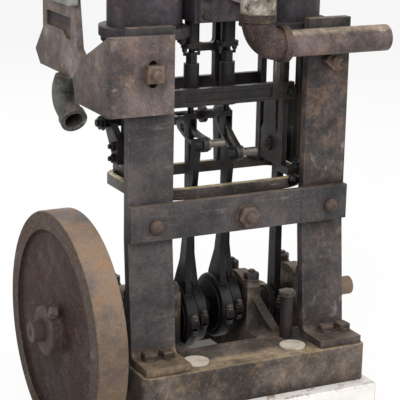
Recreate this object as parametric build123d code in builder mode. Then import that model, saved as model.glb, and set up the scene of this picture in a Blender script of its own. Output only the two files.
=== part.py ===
from build123d import *
import os
from math import atan2, cos, degrees, hypot, radians, sin, sqrt

# Twin-cylinder vertical steam engine on a cast bedplate and two timber bearers.
# +X runs along the crankshaft away from the flywheel, the front is -Y, and Z = 0 is the floor.

# Fits
running_fit = 0.05
slide_gap = 0.3

# Timber bearers
bearer_height = 110.0
bearer_depth = 75.0
bearer_end = 6.0
bearer_overhang = 25.0
bearer_arris = 3.0

# Bedplate
bed_width = 398.0
bed_depth = 360.0
bed_height = 62.0
bed_corner = 12.0
bed_round = 3.0
centre_pit_depth = 170.0
crank_pit_depth = 128.0
crank_pit_width = 48.0
left_pit_front = 100.0
plug_radius = 21.0
plug_height = 3.0
left_plug_x = 94.0
right_plug_x = 81.0
plug_y = 142.0

# Crankshaft
shaft_rise = 97.0
shaft_radius = 17.0
shaft_left_reach = 318.0
shaft_right_reach = 276.0
shaft_end_radius = 16.0
shaft_end_length = 100.0
crank_throw = 28.0
crank_pin_radius = 14.0
crank_pin_length = 19.0
crank_web_thickness = 9.5
crank_web_width = 44.0

# Main bearings
bearing_width = 24.0
outer_bearing_x = 160.0
pedestal_depth = 92.0
pedestal_rise = 74.0
brass_width = 50.0
brass_sole = 10.0
cap_height = 9.0
cap_crown = 7.0
cap_crown_width = 52.0
brace_width = 14.0
brace_spread = 33.0
brace_y = 70.0

# Flywheel
flywheel_radius = 190.5
flywheel_width = 51.0
flywheel_rim = 30.0
flywheel_recess = 6.0
flywheel_back_recess = 14.0
flywheel_edge = 4.0
flywheel_left = 281.5
hub_radius = 40.0
hub_length = 72.0
hub_boss = 17.0
hub_edge = 5.0
hub_root = 9.0

# Columns and cross-bar
column_width = 76.0
column_thickness = 16.0
column_x = 155.0
column_front = 97.0
column_top = 699.0
column_lean = 17.0
foot_length = 58.0
foot_thickness = 12.0
foot_bend = 9.0
heel_bend = 22.0
crossbar_height = 57.0
crossbar_bottom = 369.0
crossbar_thickness = 12.0

# Guide ring and crosshead guides
ring_overhang = 37.0
ring_wall = 12.0
ring_height = 18.0
ring_bottom = 421.0
ring_front_radius = 82.0
ring_rear_radius = 26.0
ring_round = 2.5
guide_inner_y = 30.0
guide_depth = 14.0
guide_width = 40.0
guide_slot = 20.0
guide_front_reach = 68.0
guide_rear_reach = 76.0
guide_foot_slot = 52.0
guide_foot_height = 12.0
guide_head_height = 14.0

# Guide beams between the cylinders
beam_overhang = -5.0
beam_bottom = 563.0
beam_height = 28.0
beam_thickness = 10.0
beam_ledge = 6.0
beam_groove = 4.0
beam_arm_width = 16.0
beam_arm_height = 16.0
boss_radius = 12.5
boss_rise = 33.0
boss_drop = 8.0
cup_radius = 16.0
cup_height = 10.0
guide_nut_radius = 10.0
guide_nut_height = 17.0
hanger_width = 22.0
hanger_front = 4.0
hanger_depth = 12.0
hanger_offset = 28.0
hanger_arm_length = 50.0
hanger_arm_height = 12.0
hanger_arm_drop = 49.0
hanger_round = 7.0

# Cylinders and steam chest
cylinder_x = 124.0
cylinder_radius = 59.5
cylinder_length = 154.0
flange_radius = 72.0
flange_thickness = 16.0
flange_edge = 2.0
flange_flat = 60.0
flange_bottom = 672.0
cover_thickness = 12.0
cover_dome_radius = 44.0
cover_dome_height = 14.0
cover_dome_round = 10.0
cylinder_foot_width = 46.0
cylinder_foot_height = 72.0
cylinder_foot_plate = 12.0
cylinder_foot_depth = 46.0
chest_depth = 116.0
chest_bottom = 695.0
chest_height = 112.0
chest_cover_thickness = 12.0
chest_cover_margin = 6.0

# Piston rods, crossheads and connecting rods
piston_rod_radius = 10.0
piston_gland_radius = 20.0
piston_gland_length = 30.0
rod_length = 300.0
rod_thickness = 12.0
rod_top_width = 18.0
rod_bottom_width = 26.0
rod_eye_radius = 13.0
big_end_width = 18.0
big_end_depth = 58.0
big_end_height = 48.0
big_end_round = 14.0
crosshead_leg_gap = 16.0
crosshead_leg = 11.0
crosshead_slipper = 60.0
crosshead_block_width = 40.0
crosshead_block_height = 18.0
crosshead_headroom = 12.0

# Valve gear
gear_x = -14.0
valve_spread = 32.0
valve_y = -10.0
valve_rod_radius = 5.0
valve_gland_radius = 12.0
valve_gland_length = 46.0
gland_flange_thickness = 8.0
gland_flange_length = 36.0
gland_flange_width = 25.0
jaw_cheek = 2.5
jaw_width = 18.0
jaw_rise = 34.0
die_length = 11.0
link_z = 510.0
link_front = 50.0
link_rear = 32.0
link_curve = 220.0
link_height = 25.0
link_thickness = 9.0
link_slot = 12.0
link_slot_end = 10.0
link_pin_radius = 6.5
link_pin_length = 30.0
left_link_tilt = 15.0
right_link_tilt = 40.0
sheave_radius = 43.0
sheave_width = 24.0
eccentric_throw = 10.0
eccentric_advance = 30.0
eccentric_pitch = 26.0
bearing_gap = 5.0
strap_wall = 11.0
strap_width = 22.0
strap_round = 5.0
strap_lug_reach = 6.0
strap_lug_height = 18.0
strap_lug_width = 14.0
strap_lug_round = 5.0
palm_width = 46.0
palm_length = 46.0
eccentric_rod_thickness = 10.0
eccentric_rod_bottom = 21.0
eccentric_rod_top = 13.0
eccentric_eye_radius = 10.0

# Reverse shaft
reverse_y = 73.5
reverse_z = 520.0
reverse_radius = 8.0
reverse_left = 163.0
reverse_right = 62.0
reverse_boss_radius = 14.0
reverse_bracket_thickness = 12.0
reverse_bracket_pad = 40.0
reverse_bracket_drop = 22.0
lifting_arm_width = 14.0
lifting_arm_thickness = 8.0

# Exhaust
exhaust_x = 9.0
exhaust_y = 124.0
exhaust_z = 667.0
pipe_radius = 21.1
pipe_bore = 17.5
pipe_recess = 60.0
pipe_end = 243.0
elbow_bend = 38.0
elbow_radius = 25.0
elbow_collar_radius = 28.5
elbow_collar_length = 12.0
riser_radius = 28.0
riser_top = 764.0
riser_bend = 36.0
exhaust_flange_radius = 38.0
exhaust_flange_thickness = 10.0

# Side bracket, arm and drain elbow
bracket_thickness = 10.0
bracket_reach = 74.0
bracket_lap = 33.0
bracket_top = 688.0
bracket_bottom = 567.0
bracket_rear = 28.0
bracket_shoulder = 7.0
bracket_bend = 6.0
bracket_slot_width = 14.0
bracket_slot_length = 42.0
bracket_slot_offset = 3.0
bracket_slot_rise = 63.0
seam_low_y = 40.0
seam_low_rise = 36.0
seam_high_y = 3.0
seam_high_rise = 73.0
arm_thickness = 12.0
arm_front = 21.0
arm_front_rise = 12.0
arm_lean = 14.0
arm_top = 728.0
arm_rear = 168.0
arm_heel = 14.0
arm_point = 36.0
arm_point_rise = 22.0
arm_shoulder_rise = 63.0
pocket_front = 47.0
pocket_rear = 150.0
pocket_bottom = 662.0
pocket_top = 697.0
pocket_step = 18.0
pocket_ramp = 16.0
pocket_rise = 11.0
pocket_depth = 5.0
clamp_front = 15.0
clamp_length = 113.0
clamp_lip = 12.0
clamp_lip_drop = 9.0
clamp_back = 10.0
clamp_height = 24.0
clamp_round = 8.0
drain_radius = 19.5
drain_bore = 15.0
drain_bore_depth = 28.0
drain_top_y = 74.0
drain_back_y = 104.0
drain_drop = 40.0
drain_lead = 20.0
drain_mouth_y = 48.0
drain_mouth_drop = 70.0
drain_bend = 24.0
drain_collar_radius = 22.0
drain_collar_length = 12.0

# Oil post
post_radius = 10.5
post_height = 80.0
post_cap_radius = 12.5
post_cap_height = 8.0
post_x = 94.0
post_y = 98.0

# Places worked out from the sizes above
engine_x = (shaft_left_reach - shaft_right_reach) / 2
bed_bottom = bearer_height
bed_top = bed_bottom + bed_height
shaft_z = bed_bottom + shaft_rise
jaw_top = bed_top + pedestal_rise
brass_bottom = shaft_z - shaft_radius - brass_sole
eccentric_spread = valve_spread + eccentric_pitch / 2
inner_bearing_spread = eccentric_spread + (sheave_width + bearing_width) / 2 + bearing_gap
inner_bearing_xs = {-1: gear_x - inner_bearing_spread, 1: gear_x + inner_bearing_spread}
bearing_xs = (-outer_bearing_x, inner_bearing_xs[-1], inner_bearing_xs[1], outer_bearing_x)
bearing_places = [(x, 0) for x in bearing_xs]
centre_pit_width = 2 * inner_bearing_spread - bearing_width
valve_xs = {-1: gear_x - valve_spread, 1: gear_x + valve_spread}
valve_places = [(x, valve_y) for x in valve_xs.values()]
column_back = column_front - column_thickness
column_kink = crossbar_bottom
ring_top = ring_bottom + ring_height
ring_width = 2 * (cylinder_x + ring_overhang)
ring_depth = 2 * column_back
guide_outer_y = guide_inner_y + guide_depth
beam_length = 2 * (cylinder_x + beam_overhang)
beam_top = beam_bottom + beam_height
cylinder_top = flange_bottom + cylinder_length
chest_width = 2 * (cylinder_x - cylinder_radius - slide_gap)
flywheel_middle = -flywheel_left + flywheel_width / 2
bracket_left = column_x + bracket_reach
bracket_right = column_x - bracket_lap
seam_low_z = bracket_bottom + seam_low_rise
seam_high_z = bracket_bottom + seam_high_rise
sides = ((-1, "left"), (1, "right"))

os.makedirs("parts", exist_ok=True)


def level(z):
    return Plane((engine_x, 0, z))


def section(x):
    return Plane((engine_x + x, 0, 0), x_dir=(0, 1, 0), z_dir=(1, 0, 0))


def face(y):
    return Plane((engine_x, y, 0), x_dir=(1, 0, 0), z_dir=(0, -1, 0))


def save(piece, name):
    piece.part.label = name
    export_step(piece.part, f"parts/{name}.step")


# Two timbers across the width carry the bedplate clear of the floor.
for side, name in ((-1, "front_bearer"), (1, "rear_bearer")):
    with BuildPart() as bearer:
        with BuildSketch(level(0)):
            with Locations((0, side * (bed_depth / 2 + bearer_overhang - bearer_depth / 2))):
                Rectangle(bed_width + 2 * bearer_end, bearer_depth)
        extrude(amount=bearer_height)
        chamfer(bearer.edges().filter_by(Axis.X), bearer_arris)
    save(bearer, name)

# One casting: rails round three open pits, with slotted pedestals for the four main bearings.
with BuildPart() as bedplate:
    with BuildSketch(level(bed_bottom)):
        RectangleRounded(bed_width, bed_depth, bed_corner)
    extrude(amount=bed_height)
    fillet(bedplate.faces().sort_by(Axis.Z)[-1].edges(), bed_round)
    with BuildSketch(level(bed_bottom)):
        with Locations((gear_x, 0)):
            Rectangle(centre_pit_width, centre_pit_depth)
        with Locations((-cylinder_x, 0), (cylinder_x, 0)):
            Rectangle(crank_pit_width, crank_pit_depth)
        with Locations((-cylinder_x, -left_pit_front / 2)):
            Rectangle(crank_pit_width, left_pit_front)
    extrude(amount=bed_height, mode=Mode.SUBTRACT)
    with BuildSketch(level(bed_top)):
        with Locations(*bearing_places):
            Rectangle(bearing_width, pedestal_depth)
    extrude(amount=pedestal_rise)
    with BuildSketch(level(brass_bottom)):
        with Locations(*bearing_places):
            Rectangle(bearing_width, brass_width)
    extrude(amount=jaw_top - brass_bottom, mode=Mode.SUBTRACT)
    for end in (-1, 1):
        brace_x = engine_x + inner_bearing_xs[1]
        brace_top = Vector(brace_x, end * (pedestal_depth - brace_width) / 2, jaw_top - brace_width)
        brace_foot = Vector(brace_x + brace_spread, end * brace_y, bed_top - brace_width / 2)
        with BuildSketch(Plane(brace_top, x_dir=(1, 0, 0), z_dir=brace_foot - brace_top)):
            Rectangle(brace_width, brace_width)
        extrude(amount=(brace_foot - brace_top).length)
save(bedplate, "bedplate")

# Round plugs in the top of the front rail.
with BuildPart() as base_plugs:
    with BuildSketch(level(bed_top)):
        with Locations((-left_plug_x, -plug_y), (right_plug_x, -plug_y)):
            Circle(plug_radius)
    extrude(amount=plug_height)
save(base_plugs, "base_plugs")

# Upright oil post on the front rail.
with BuildPart() as oil_post:
    with BuildSketch(level(bed_top)):
        with Locations((post_x, -post_y)):
            Circle(post_radius)
    extrude(amount=post_height)
    with BuildSketch(level(bed_top + post_height)):
        with Locations((post_x, -post_y)):
            Circle(post_cap_radius)
    extrude(amount=-post_cap_height)
save(oil_post, "oil_post")

# Brasses stand in the pedestal slots and the caps keep them down.
with BuildPart() as bearing_brasses:
    with BuildSketch(level(brass_bottom)):
        with Locations(*bearing_places):
            Rectangle(bearing_width, brass_width)
    extrude(amount=jaw_top - brass_bottom)
    with BuildSketch(section(-shaft_left_reach)):
        with Locations((0, shaft_z)):
            Circle(shaft_radius + running_fit)
    extrude(amount=shaft_left_reach + shaft_right_reach, mode=Mode.SUBTRACT)
save(bearing_brasses, "bearing_brasses")

cap_shoulder = jaw_top + cap_height
with BuildPart() as bearing_caps:
    for x in bearing_xs:
        with BuildSketch(section(x)):
            with BuildLine():
                Polyline((cap_crown_width / 2, cap_shoulder), (pedestal_depth / 2, cap_shoulder),
                         (pedestal_depth / 2, jaw_top), (-pedestal_depth / 2, jaw_top),
                         (-pedestal_depth / 2, cap_shoulder), (-cap_crown_width / 2, cap_shoulder))
                ThreePointArc((-cap_crown_width / 2, cap_shoulder), (0, cap_shoulder + cap_crown),
                              (cap_crown_width / 2, cap_shoulder))
            make_face()
        extrude(amount=bearing_width / 2, both=True)
save(bearing_caps, "bearing_caps")

# Flat-bar columns, kinked forward below the cross-bar and bent into feet on the front rail.
foot_top = bed_top + foot_thickness
foot_heel = column_front + column_lean
for side, name in sides:
    with BuildPart() as column:
        with BuildSketch(section(side * column_x)) as column_profile:
            with BuildLine():
                Polyline((-column_front, column_top), (-column_front, column_kink),
                         (-foot_heel, foot_top), (-foot_heel - foot_length, foot_top),
                         (-foot_heel - foot_length, bed_top), (column_thickness - foot_heel, bed_top),
                         (-column_back, column_kink), (-column_back, column_top), close=True)
            make_face()
            fillet(column_profile.vertices().group_by(Axis.Y)[0].sort_by(Axis.X)[-1], heel_bend)
            fillet(column_profile.vertices().group_by(Axis.Y)[1].sort_by(Axis.X)[-1], foot_bend)
        extrude(amount=column_width / 2, both=True)
    save(column, f"{name}_column")

# Flat cross-bar over the front of both columns.
with BuildPart() as crossbar:
    with BuildSketch(face(-column_front)):
        with Locations((0, crossbar_bottom + crossbar_height / 2)):
            Rectangle(2 * column_x + column_width, crossbar_height)
    extrude(amount=crossbar_thickness)
save(crossbar, "crossbar")

# Round-cornered hoop behind the cross-bar, which ties the lower ends of the guides together.
with BuildPart() as guide_ring:
    with BuildSketch(level(ring_bottom)) as ring_plan:
        Rectangle(ring_width, ring_depth)
        fillet(ring_plan.vertices().group_by(Axis.Y)[0], ring_front_radius)
        fillet(ring_plan.vertices().group_by(Axis.Y)[-1], ring_rear_radius)
        offset(amount=-ring_wall, mode=Mode.SUBTRACT)
    extrude(amount=ring_height)
    fillet(guide_ring.faces().sort_by(Axis.Z)[-1].edges(), ring_round)
save(guide_ring, "guide_ring")

# Each crosshead runs between a front and a rear guide, two bars with a slot between them.
for side, name in sides:
    with BuildPart() as guides:
        for end, foot_reach in ((-1, guide_front_reach), (1, guide_rear_reach)):
            guide_mid = end * (guide_inner_y + guide_depth / 2)
            with BuildSketch(level(ring_top)):
                with Locations((side * cylinder_x, end * (guide_inner_y + foot_reach) / 2)):
                    Rectangle(guide_width, foot_reach - guide_inner_y)
                with Locations((side * cylinder_x, end * (guide_inner_y + guide_foot_slot) / 2)):
                    Rectangle(guide_slot, guide_foot_slot - guide_inner_y, mode=Mode.SUBTRACT)
            extrude(amount=guide_foot_height)
            with BuildSketch(level(ring_top)):
                with Locations((side * cylinder_x, guide_mid)):
                    Rectangle(guide_width, guide_depth)
                    Rectangle(guide_slot, guide_depth, mode=Mode.SUBTRACT)
            extrude(amount=flange_bottom - ring_top)
            with BuildSketch(level(flange_bottom)):
                with Locations((side * cylinder_x, guide_mid)):
                    Rectangle(guide_width, guide_depth)
            extrude(amount=-guide_head_height)
    save(guides, f"{name}_guides")

# The front beam is grooved along its face, and two arms carry bored bosses that steady the valve rods.
beam_middle = beam_bottom + beam_height / 2
beam_arm_back = hanger_front + hanger_depth
boss_bottom = beam_bottom - boss_drop
boss_top = beam_top + boss_rise
with BuildPart() as front_guide_beam:
    with BuildSketch(face(-guide_outer_y)):
        with Locations((0, beam_middle)):
            Rectangle(beam_length, beam_height)
    extrude(amount=beam_thickness)
    with BuildSketch(face(-guide_outer_y - beam_thickness)):
        with Locations((0, beam_middle)):
            Rectangle(beam_length - 2 * guide_width, beam_height - 2 * beam_ledge)
    extrude(amount=-beam_groove, mode=Mode.SUBTRACT)
    with BuildSketch(level(beam_bottom)):
        with Locations(*[(x, (beam_arm_back - guide_outer_y) / 2) for x in valve_xs.values()]):
            Rectangle(beam_arm_width, beam_arm_back + guide_outer_y)
    extrude(amount=beam_arm_height)
    with BuildSketch(level(boss_bottom)):
        with Locations(*valve_places):
            Circle(boss_radius)
    extrude(amount=boss_top - boss_bottom)
    with BuildSketch(level(boss_bottom)):
        with Locations(*valve_places):
            Circle(cup_radius)
    extrude(amount=cup_height, taper=degrees(atan2(cup_radius - boss_radius, cup_height)))
    with BuildSketch(level(boss_top)):
        with Locations(*valve_places):
            RegularPolygon(guide_nut_radius, 6)
    extrude(amount=guide_nut_height)
    with BuildSketch(level(boss_bottom)):
        with Locations(*valve_places):
            Circle(valve_rod_radius + slide_gap)
    extrude(amount=boss_top + guide_nut_height - boss_bottom, mode=Mode.SUBTRACT)
save(front_guide_beam, "front_guide_beam")

with BuildPart() as rear_guide_beam:
    with BuildSketch(face(guide_outer_y)):
        with Locations((0, beam_middle)):
            Rectangle(beam_length, beam_height)
    extrude(amount=-beam_thickness)
save(rear_guide_beam, "rear_guide_beam")

# Hanger with a side arm, from the steam chest down to the beam's right arm.
hanger_x = gear_x + hanger_offset
hanger_bottom = beam_bottom + beam_arm_height
with BuildPart() as hanger:
    with BuildSketch(face(hanger_front)) as hanger_shape:
        with Locations((hanger_x, (hanger_bottom + chest_bottom) / 2)):
            Rectangle(hanger_width, chest_bottom - hanger_bottom)
        with Locations((hanger_x - hanger_arm_length / 2, chest_bottom - hanger_arm_drop)):
            Rectangle(hanger_arm_length, hanger_arm_height)
        fillet(hanger_shape.vertices().group_by(Axis.X)[1].sort_by(Axis.Y)[1:3], hanger_round)
    extrude(amount=-hanger_depth)
save(hanger, "hanger")

# Cylinders with a flange at each end, flat on the side towards the chest, and domed covers.
for side, name in sides:
    with BuildPart() as cylinder:
        with BuildSketch(level(flange_bottom)):
            with Locations((side * cylinder_x, 0)):
                Circle(cylinder_radius)
        extrude(amount=cylinder_length)
        with BuildSketch(level(flange_bottom), level(cylinder_top - flange_thickness)):
            with Locations((side * cylinder_x, 0)):
                Circle(flange_radius)
            with Locations((side * (flange_flat - flange_radius), 0)):
                Rectangle(2 * flange_radius, 2 * flange_radius, mode=Mode.SUBTRACT)
        extrude(amount=flange_thickness)
        fillet(cylinder.faces().sort_by(Axis.Z)[0].edges().filter_by(GeomType.CIRCLE), flange_edge)
    save(cylinder, f"{name}_cylinder")

    with BuildPart() as cover:
        with BuildSketch(level(cylinder_top)):
            with Locations((side * cylinder_x, 0)):
                Circle(flange_radius)
        extrude(amount=cover_thickness)
        with BuildSketch(level(cylinder_top + cover_thickness)):
            with Locations((side * cylinder_x, 0)):
                Circle(cover_dome_radius)
        extrude(amount=cover_dome_height)
        fillet(cover.faces().sort_by(Axis.Z)[-1].edges(), cover_dome_round)
    save(cover, f"{name}_cylinder_cover")

cylinder_foot_x = column_x + (column_width - cylinder_foot_width) / 2
# Angle feet carry the cylinder flanges on the backs of the columns.
with BuildPart() as cylinder_feet:
    for side, _ in sides:
        with BuildSketch(section(side * cylinder_foot_x)):
            with BuildLine():
                Polyline((-column_back, flange_bottom), (-column_back, flange_bottom - cylinder_foot_height),
                         (cylinder_foot_plate - column_back, flange_bottom - cylinder_foot_height),
                         (cylinder_foot_plate - column_back, flange_bottom - cylinder_foot_depth),
                         (cylinder_foot_depth - column_back, flange_bottom - cylinder_foot_plate),
                         (cylinder_foot_depth - column_back, flange_bottom), close=True)
            make_face()
        extrude(amount=cylinder_foot_width / 2, both=True)
save(cylinder_feet, "cylinder_feet")

# Steam chest between the cylinders, with a cover on its front.
with BuildPart() as steam_chest:
    with BuildSketch(level(chest_bottom)):
        Rectangle(chest_width, chest_depth)
    extrude(amount=chest_height)
save(steam_chest, "steam_chest")

chest_cover_front = chest_depth / 2 + chest_cover_thickness
with BuildPart() as chest_cover:
    with BuildSketch(face(-chest_depth / 2)):
        with Locations((0, chest_bottom + chest_height / 2)):
            Rectangle(chest_width - chest_cover_margin, chest_height - chest_cover_margin)
    extrude(amount=chest_cover_thickness)
save(chest_cover, "chest_cover")

# Stuffing boxes under the cylinders and under the steam chest.
with BuildPart() as piston_glands:
    for side, _ in sides:
        with BuildSketch(level(flange_bottom)):
            with Locations((side * cylinder_x, 0)):
                Circle(piston_gland_radius)
                Circle(piston_rod_radius + slide_gap, mode=Mode.SUBTRACT)
        extrude(amount=-piston_gland_length)
save(piston_glands, "piston_glands")

with BuildPart() as valve_glands:
    with BuildSketch(level(chest_bottom)):
        with Locations(*valve_places):
            Circle(valve_gland_radius)
    extrude(amount=-valve_gland_length)
    with BuildSketch(level(chest_bottom - valve_gland_length)):
        with Locations(*valve_places):
            SlotOverall(gland_flange_length, gland_flange_width)
    extrude(amount=gland_flange_thickness)
    with BuildSketch(level(chest_bottom)):
        with Locations(*valve_places):
            Circle(valve_rod_radius + slide_gap)
    extrude(amount=-valve_gland_length, mode=Mode.SUBTRACT)
save(valve_glands, "valve_glands")

# Crossheads: a fork whose legs pass each side of the connecting rod and bear on the guides.
# At rest the left crank stands at the top of its stroke and the right crank at the bottom.
crosshead_block_bottom = shaft_z + crank_throw + rod_length + rod_eye_radius + crosshead_headroom
crosshead_block_top = crosshead_block_bottom + crosshead_block_height
for side, name in sides:
    pin_z = shaft_z - side * crank_throw + rod_length
    slipper_y = guide_inner_y - slide_gap
    with BuildPart() as crosshead:
        for leg in (-1, 1):
            leg_x = side * cylinder_x + leg * (crosshead_leg_gap + crosshead_leg) / 2
            with BuildSketch(section(leg_x)):
                with BuildLine():
                    Polyline((-crosshead_block_width / 2, crosshead_block_top),
                             (-crosshead_block_width / 2, pin_z + crosshead_slipper / 2),
                             (-slipper_y, pin_z + crosshead_slipper / 2 - crosshead_headroom),
                             (-slipper_y, pin_z - crosshead_slipper / 2),
                             (slipper_y, pin_z - crosshead_slipper / 2),
                             (slipper_y, pin_z + crosshead_slipper / 2 - crosshead_headroom),
                             (crosshead_block_width / 2, pin_z + crosshead_slipper / 2),
                             (crosshead_block_width / 2, crosshead_block_top), close=True)
                make_face()
            extrude(amount=crosshead_leg / 2, both=True)
        with BuildSketch(level(crosshead_block_bottom)):
            with Locations((side * cylinder_x, 0)):
                Rectangle(crosshead_leg_gap + 2 * crosshead_leg, crosshead_block_width)
        extrude(amount=crosshead_block_height)
    save(crosshead, f"{name}_crosshead")

with BuildPart() as piston_rods:
    for side, _ in sides:
        with BuildSketch(level(crosshead_block_top)):
            with Locations((side * cylinder_x, 0)):
                Circle(piston_rod_radius)
        extrude(amount=flange_bottom - crosshead_block_top)
save(piston_rods, "piston_rods")

# Expansion links: curved slotted bars, each with a pin standing out of its front end.
link_tilts = {-1: left_link_tilt, 1: right_link_tilt}


def link_rise(along):
    return link_curve - sqrt(link_curve ** 2 - along ** 2)


def link_plane(side):
    tilt = radians(link_tilts[side])
    place = (engine_x + valve_xs[side], valve_y, link_z)
    return Plane(place, x_dir=(0, cos(tilt), sin(tilt)), z_dir=(1, 0, 0))


def link_end(side, end):
    tilt = radians(link_tilts[side])
    along = -link_front if end < 0 else link_rear
    end_y = valve_y + along * cos(tilt) - link_rise(along) * sin(tilt)
    return (end_y, link_z + along * sin(tilt) + link_rise(along) * cos(tilt))


slot_front = link_front - link_slot_end
slot_rear = link_rear - link_slot_end
link_arc = ThreePointArc((-link_front, link_rise(link_front)), (0, 0), (link_rear, link_rise(link_rear)))
slot_arc = ThreePointArc((-slot_front, link_rise(slot_front)), (0, 0), (slot_rear, link_rise(slot_rear)))
with BuildPart() as expansion_links:
    for side, _ in sides:
        with BuildSketch(link_plane(side)):
            SlotArc(link_arc, link_height)
            SlotArc(slot_arc, link_slot, mode=Mode.SUBTRACT)
        extrude(amount=link_thickness / 2, both=True)
        with BuildSketch(link_plane(side).offset(link_thickness / 2)):
            with Locations((-link_front, link_rise(link_front))):
                Circle(link_pin_radius)
        extrude(amount=link_pin_length)
save(expansion_links, "expansion_links")

# Valve rods end in a jaw that holds the die block in the slot of the link.
jaw_top_z = link_z + jaw_rise
jaw_bottom_z = link_z - link_slot / 2
jaw_outer = link_thickness / 2 + slide_gap + jaw_cheek
with BuildPart() as valve_rods:
    for side, _ in sides:
        with BuildSketch(level(jaw_top_z)):
            with Locations((valve_xs[side], valve_y)):
                Circle(valve_rod_radius)
        extrude(amount=chest_bottom - jaw_top_z)
        with BuildSketch(section(valve_xs[side])):
            with Locations((valve_y, (jaw_top_z + jaw_bottom_z) / 2)):
                Rectangle(jaw_width, jaw_top_z - jaw_bottom_z)
        extrude(amount=jaw_outer, both=True)
        with BuildSketch(section(valve_xs[side])):
            with Locations((valve_y, link_z)):
                Rectangle(2 * jaw_width, 2 * link_height)
        extrude(amount=link_thickness / 2 + slide_gap, both=True, mode=Mode.SUBTRACT)
        with BuildSketch(link_plane(side)):
            Rectangle(die_length, link_slot - 2 * slide_gap)
        extrude(amount=jaw_outer, both=True)
save(valve_rods, "valve_rods")

# Reverse shaft at the back, with an arm to the rear end of each link.
with BuildPart() as reverse_shaft:
    with BuildSketch(section(-reverse_left)):
        with Locations((reverse_y, reverse_z)):
            Circle(reverse_radius)
    extrude(amount=reverse_left + reverse_right)
    for side, _ in sides:
        end_y, end_z = link_end(side, 1)
        reach = hypot(reverse_y - end_y, reverse_z - end_z)
        arm_length = reach - link_height / 2 - slide_gap - lifting_arm_width / 2
        arm_tip_y = reverse_y + (end_y - reverse_y) * arm_length / reach
        arm_tip_z = reverse_z + (end_z - reverse_z) * arm_length / reach
        arm_turn = degrees(atan2(end_z - reverse_z, end_y - reverse_y))
        with BuildSketch(section(valve_xs[side])):
            with Locations(((reverse_y + arm_tip_y) / 2, (reverse_z + arm_tip_z) / 2)):
                SlotCenterToCenter(arm_length, lifting_arm_width, rotation=arm_turn)
            with Locations((reverse_y, reverse_z)):
                Circle(reverse_boss_radius)
        extrude(amount=lifting_arm_thickness / 2, both=True)
save(reverse_shaft, "reverse_shaft")

# The left bracket is bolted to the side of the rear guide, and the right one stands on the ring.
left_bracket_x = -cylinder_x - (guide_width + reverse_bracket_thickness) / 2
pad_top = reverse_z - reverse_bracket_drop
left_foot = ((guide_inner_y, pad_top), (guide_inner_y, pad_top - reverse_bracket_pad),
             (guide_outer_y, pad_top - reverse_bracket_pad))
right_foot = ((column_back - ring_wall, ring_top), (column_back, ring_top))
with BuildPart() as reverse_brackets:
    for x, foot in ((left_bracket_x, left_foot), (reverse_right - reverse_bracket_thickness, right_foot)):
        with BuildSketch(section(x)):
            with BuildLine():
                Polyline((reverse_y - reverse_boss_radius, reverse_z), *foot,
                         (reverse_y + reverse_boss_radius, reverse_z), close=True)
            make_face()
            with Locations((reverse_y, reverse_z)):
                Circle(reverse_boss_radius)
                Circle(reverse_radius + slide_gap, mode=Mode.SUBTRACT)
        extrude(amount=reverse_bracket_thickness / 2, both=True)
save(reverse_brackets, "reverse_brackets")

# Exhaust: a lagged riser from the steam chest, an elbow, and a plain pipe past the right column.
with BuildPart() as exhaust_riser:
    riser_bottom = exhaust_z + elbow_bend + elbow_collar_length
    flange_y = -chest_cover_front - exhaust_flange_thickness
    with BuildLine():
        FilletPolyline((engine_x + exhaust_x, -exhaust_y, riser_bottom),
                       (engine_x + exhaust_x, -exhaust_y, riser_top),
                       (engine_x + exhaust_x, flange_y, riser_top), radius=riser_bend)
    with BuildSketch(Plane((engine_x + exhaust_x, -exhaust_y, riser_bottom))):
        Circle(riser_radius)
    sweep()
    with BuildSketch(face(-chest_cover_front)):
        with Locations((exhaust_x, riser_top)):
            Circle(exhaust_flange_radius)
    extrude(amount=exhaust_flange_thickness)
save(exhaust_riser, "exhaust_riser")

pipe_start = exhaust_x + elbow_bend + elbow_collar_length
with BuildPart() as exhaust_elbow:
    with BuildLine():
        FilletPolyline((engine_x + exhaust_x, -exhaust_y, riser_bottom),
                       (engine_x + exhaust_x, -exhaust_y, exhaust_z),
                       (engine_x + pipe_start, -exhaust_y, exhaust_z), radius=elbow_bend)
    with BuildSketch(Plane((engine_x + exhaust_x, -exhaust_y, riser_bottom))):
        Circle(elbow_radius)
    sweep()
    with BuildSketch(Plane((engine_x + exhaust_x, -exhaust_y, riser_bottom))):
        Circle(elbow_collar_radius)
    extrude(amount=-elbow_collar_length)
    with BuildSketch(section(pipe_start)):
        with Locations((-exhaust_y, exhaust_z)):
            Circle(elbow_collar_radius)
    extrude(amount=-elbow_collar_length)
save(exhaust_elbow, "exhaust_elbow")

with BuildPart() as exhaust_pipe:
    with BuildSketch(section(pipe_start)):
        with Locations((-exhaust_y, exhaust_z)):
            Circle(pipe_radius)
    extrude(amount=pipe_end - pipe_start)
    with BuildSketch(section(pipe_end)):
        with Locations((-exhaust_y, exhaust_z)):
            Circle(pipe_bore)
    extrude(amount=-pipe_recess, mode=Mode.SUBTRACT)
save(exhaust_pipe, "exhaust_pipe")

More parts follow.
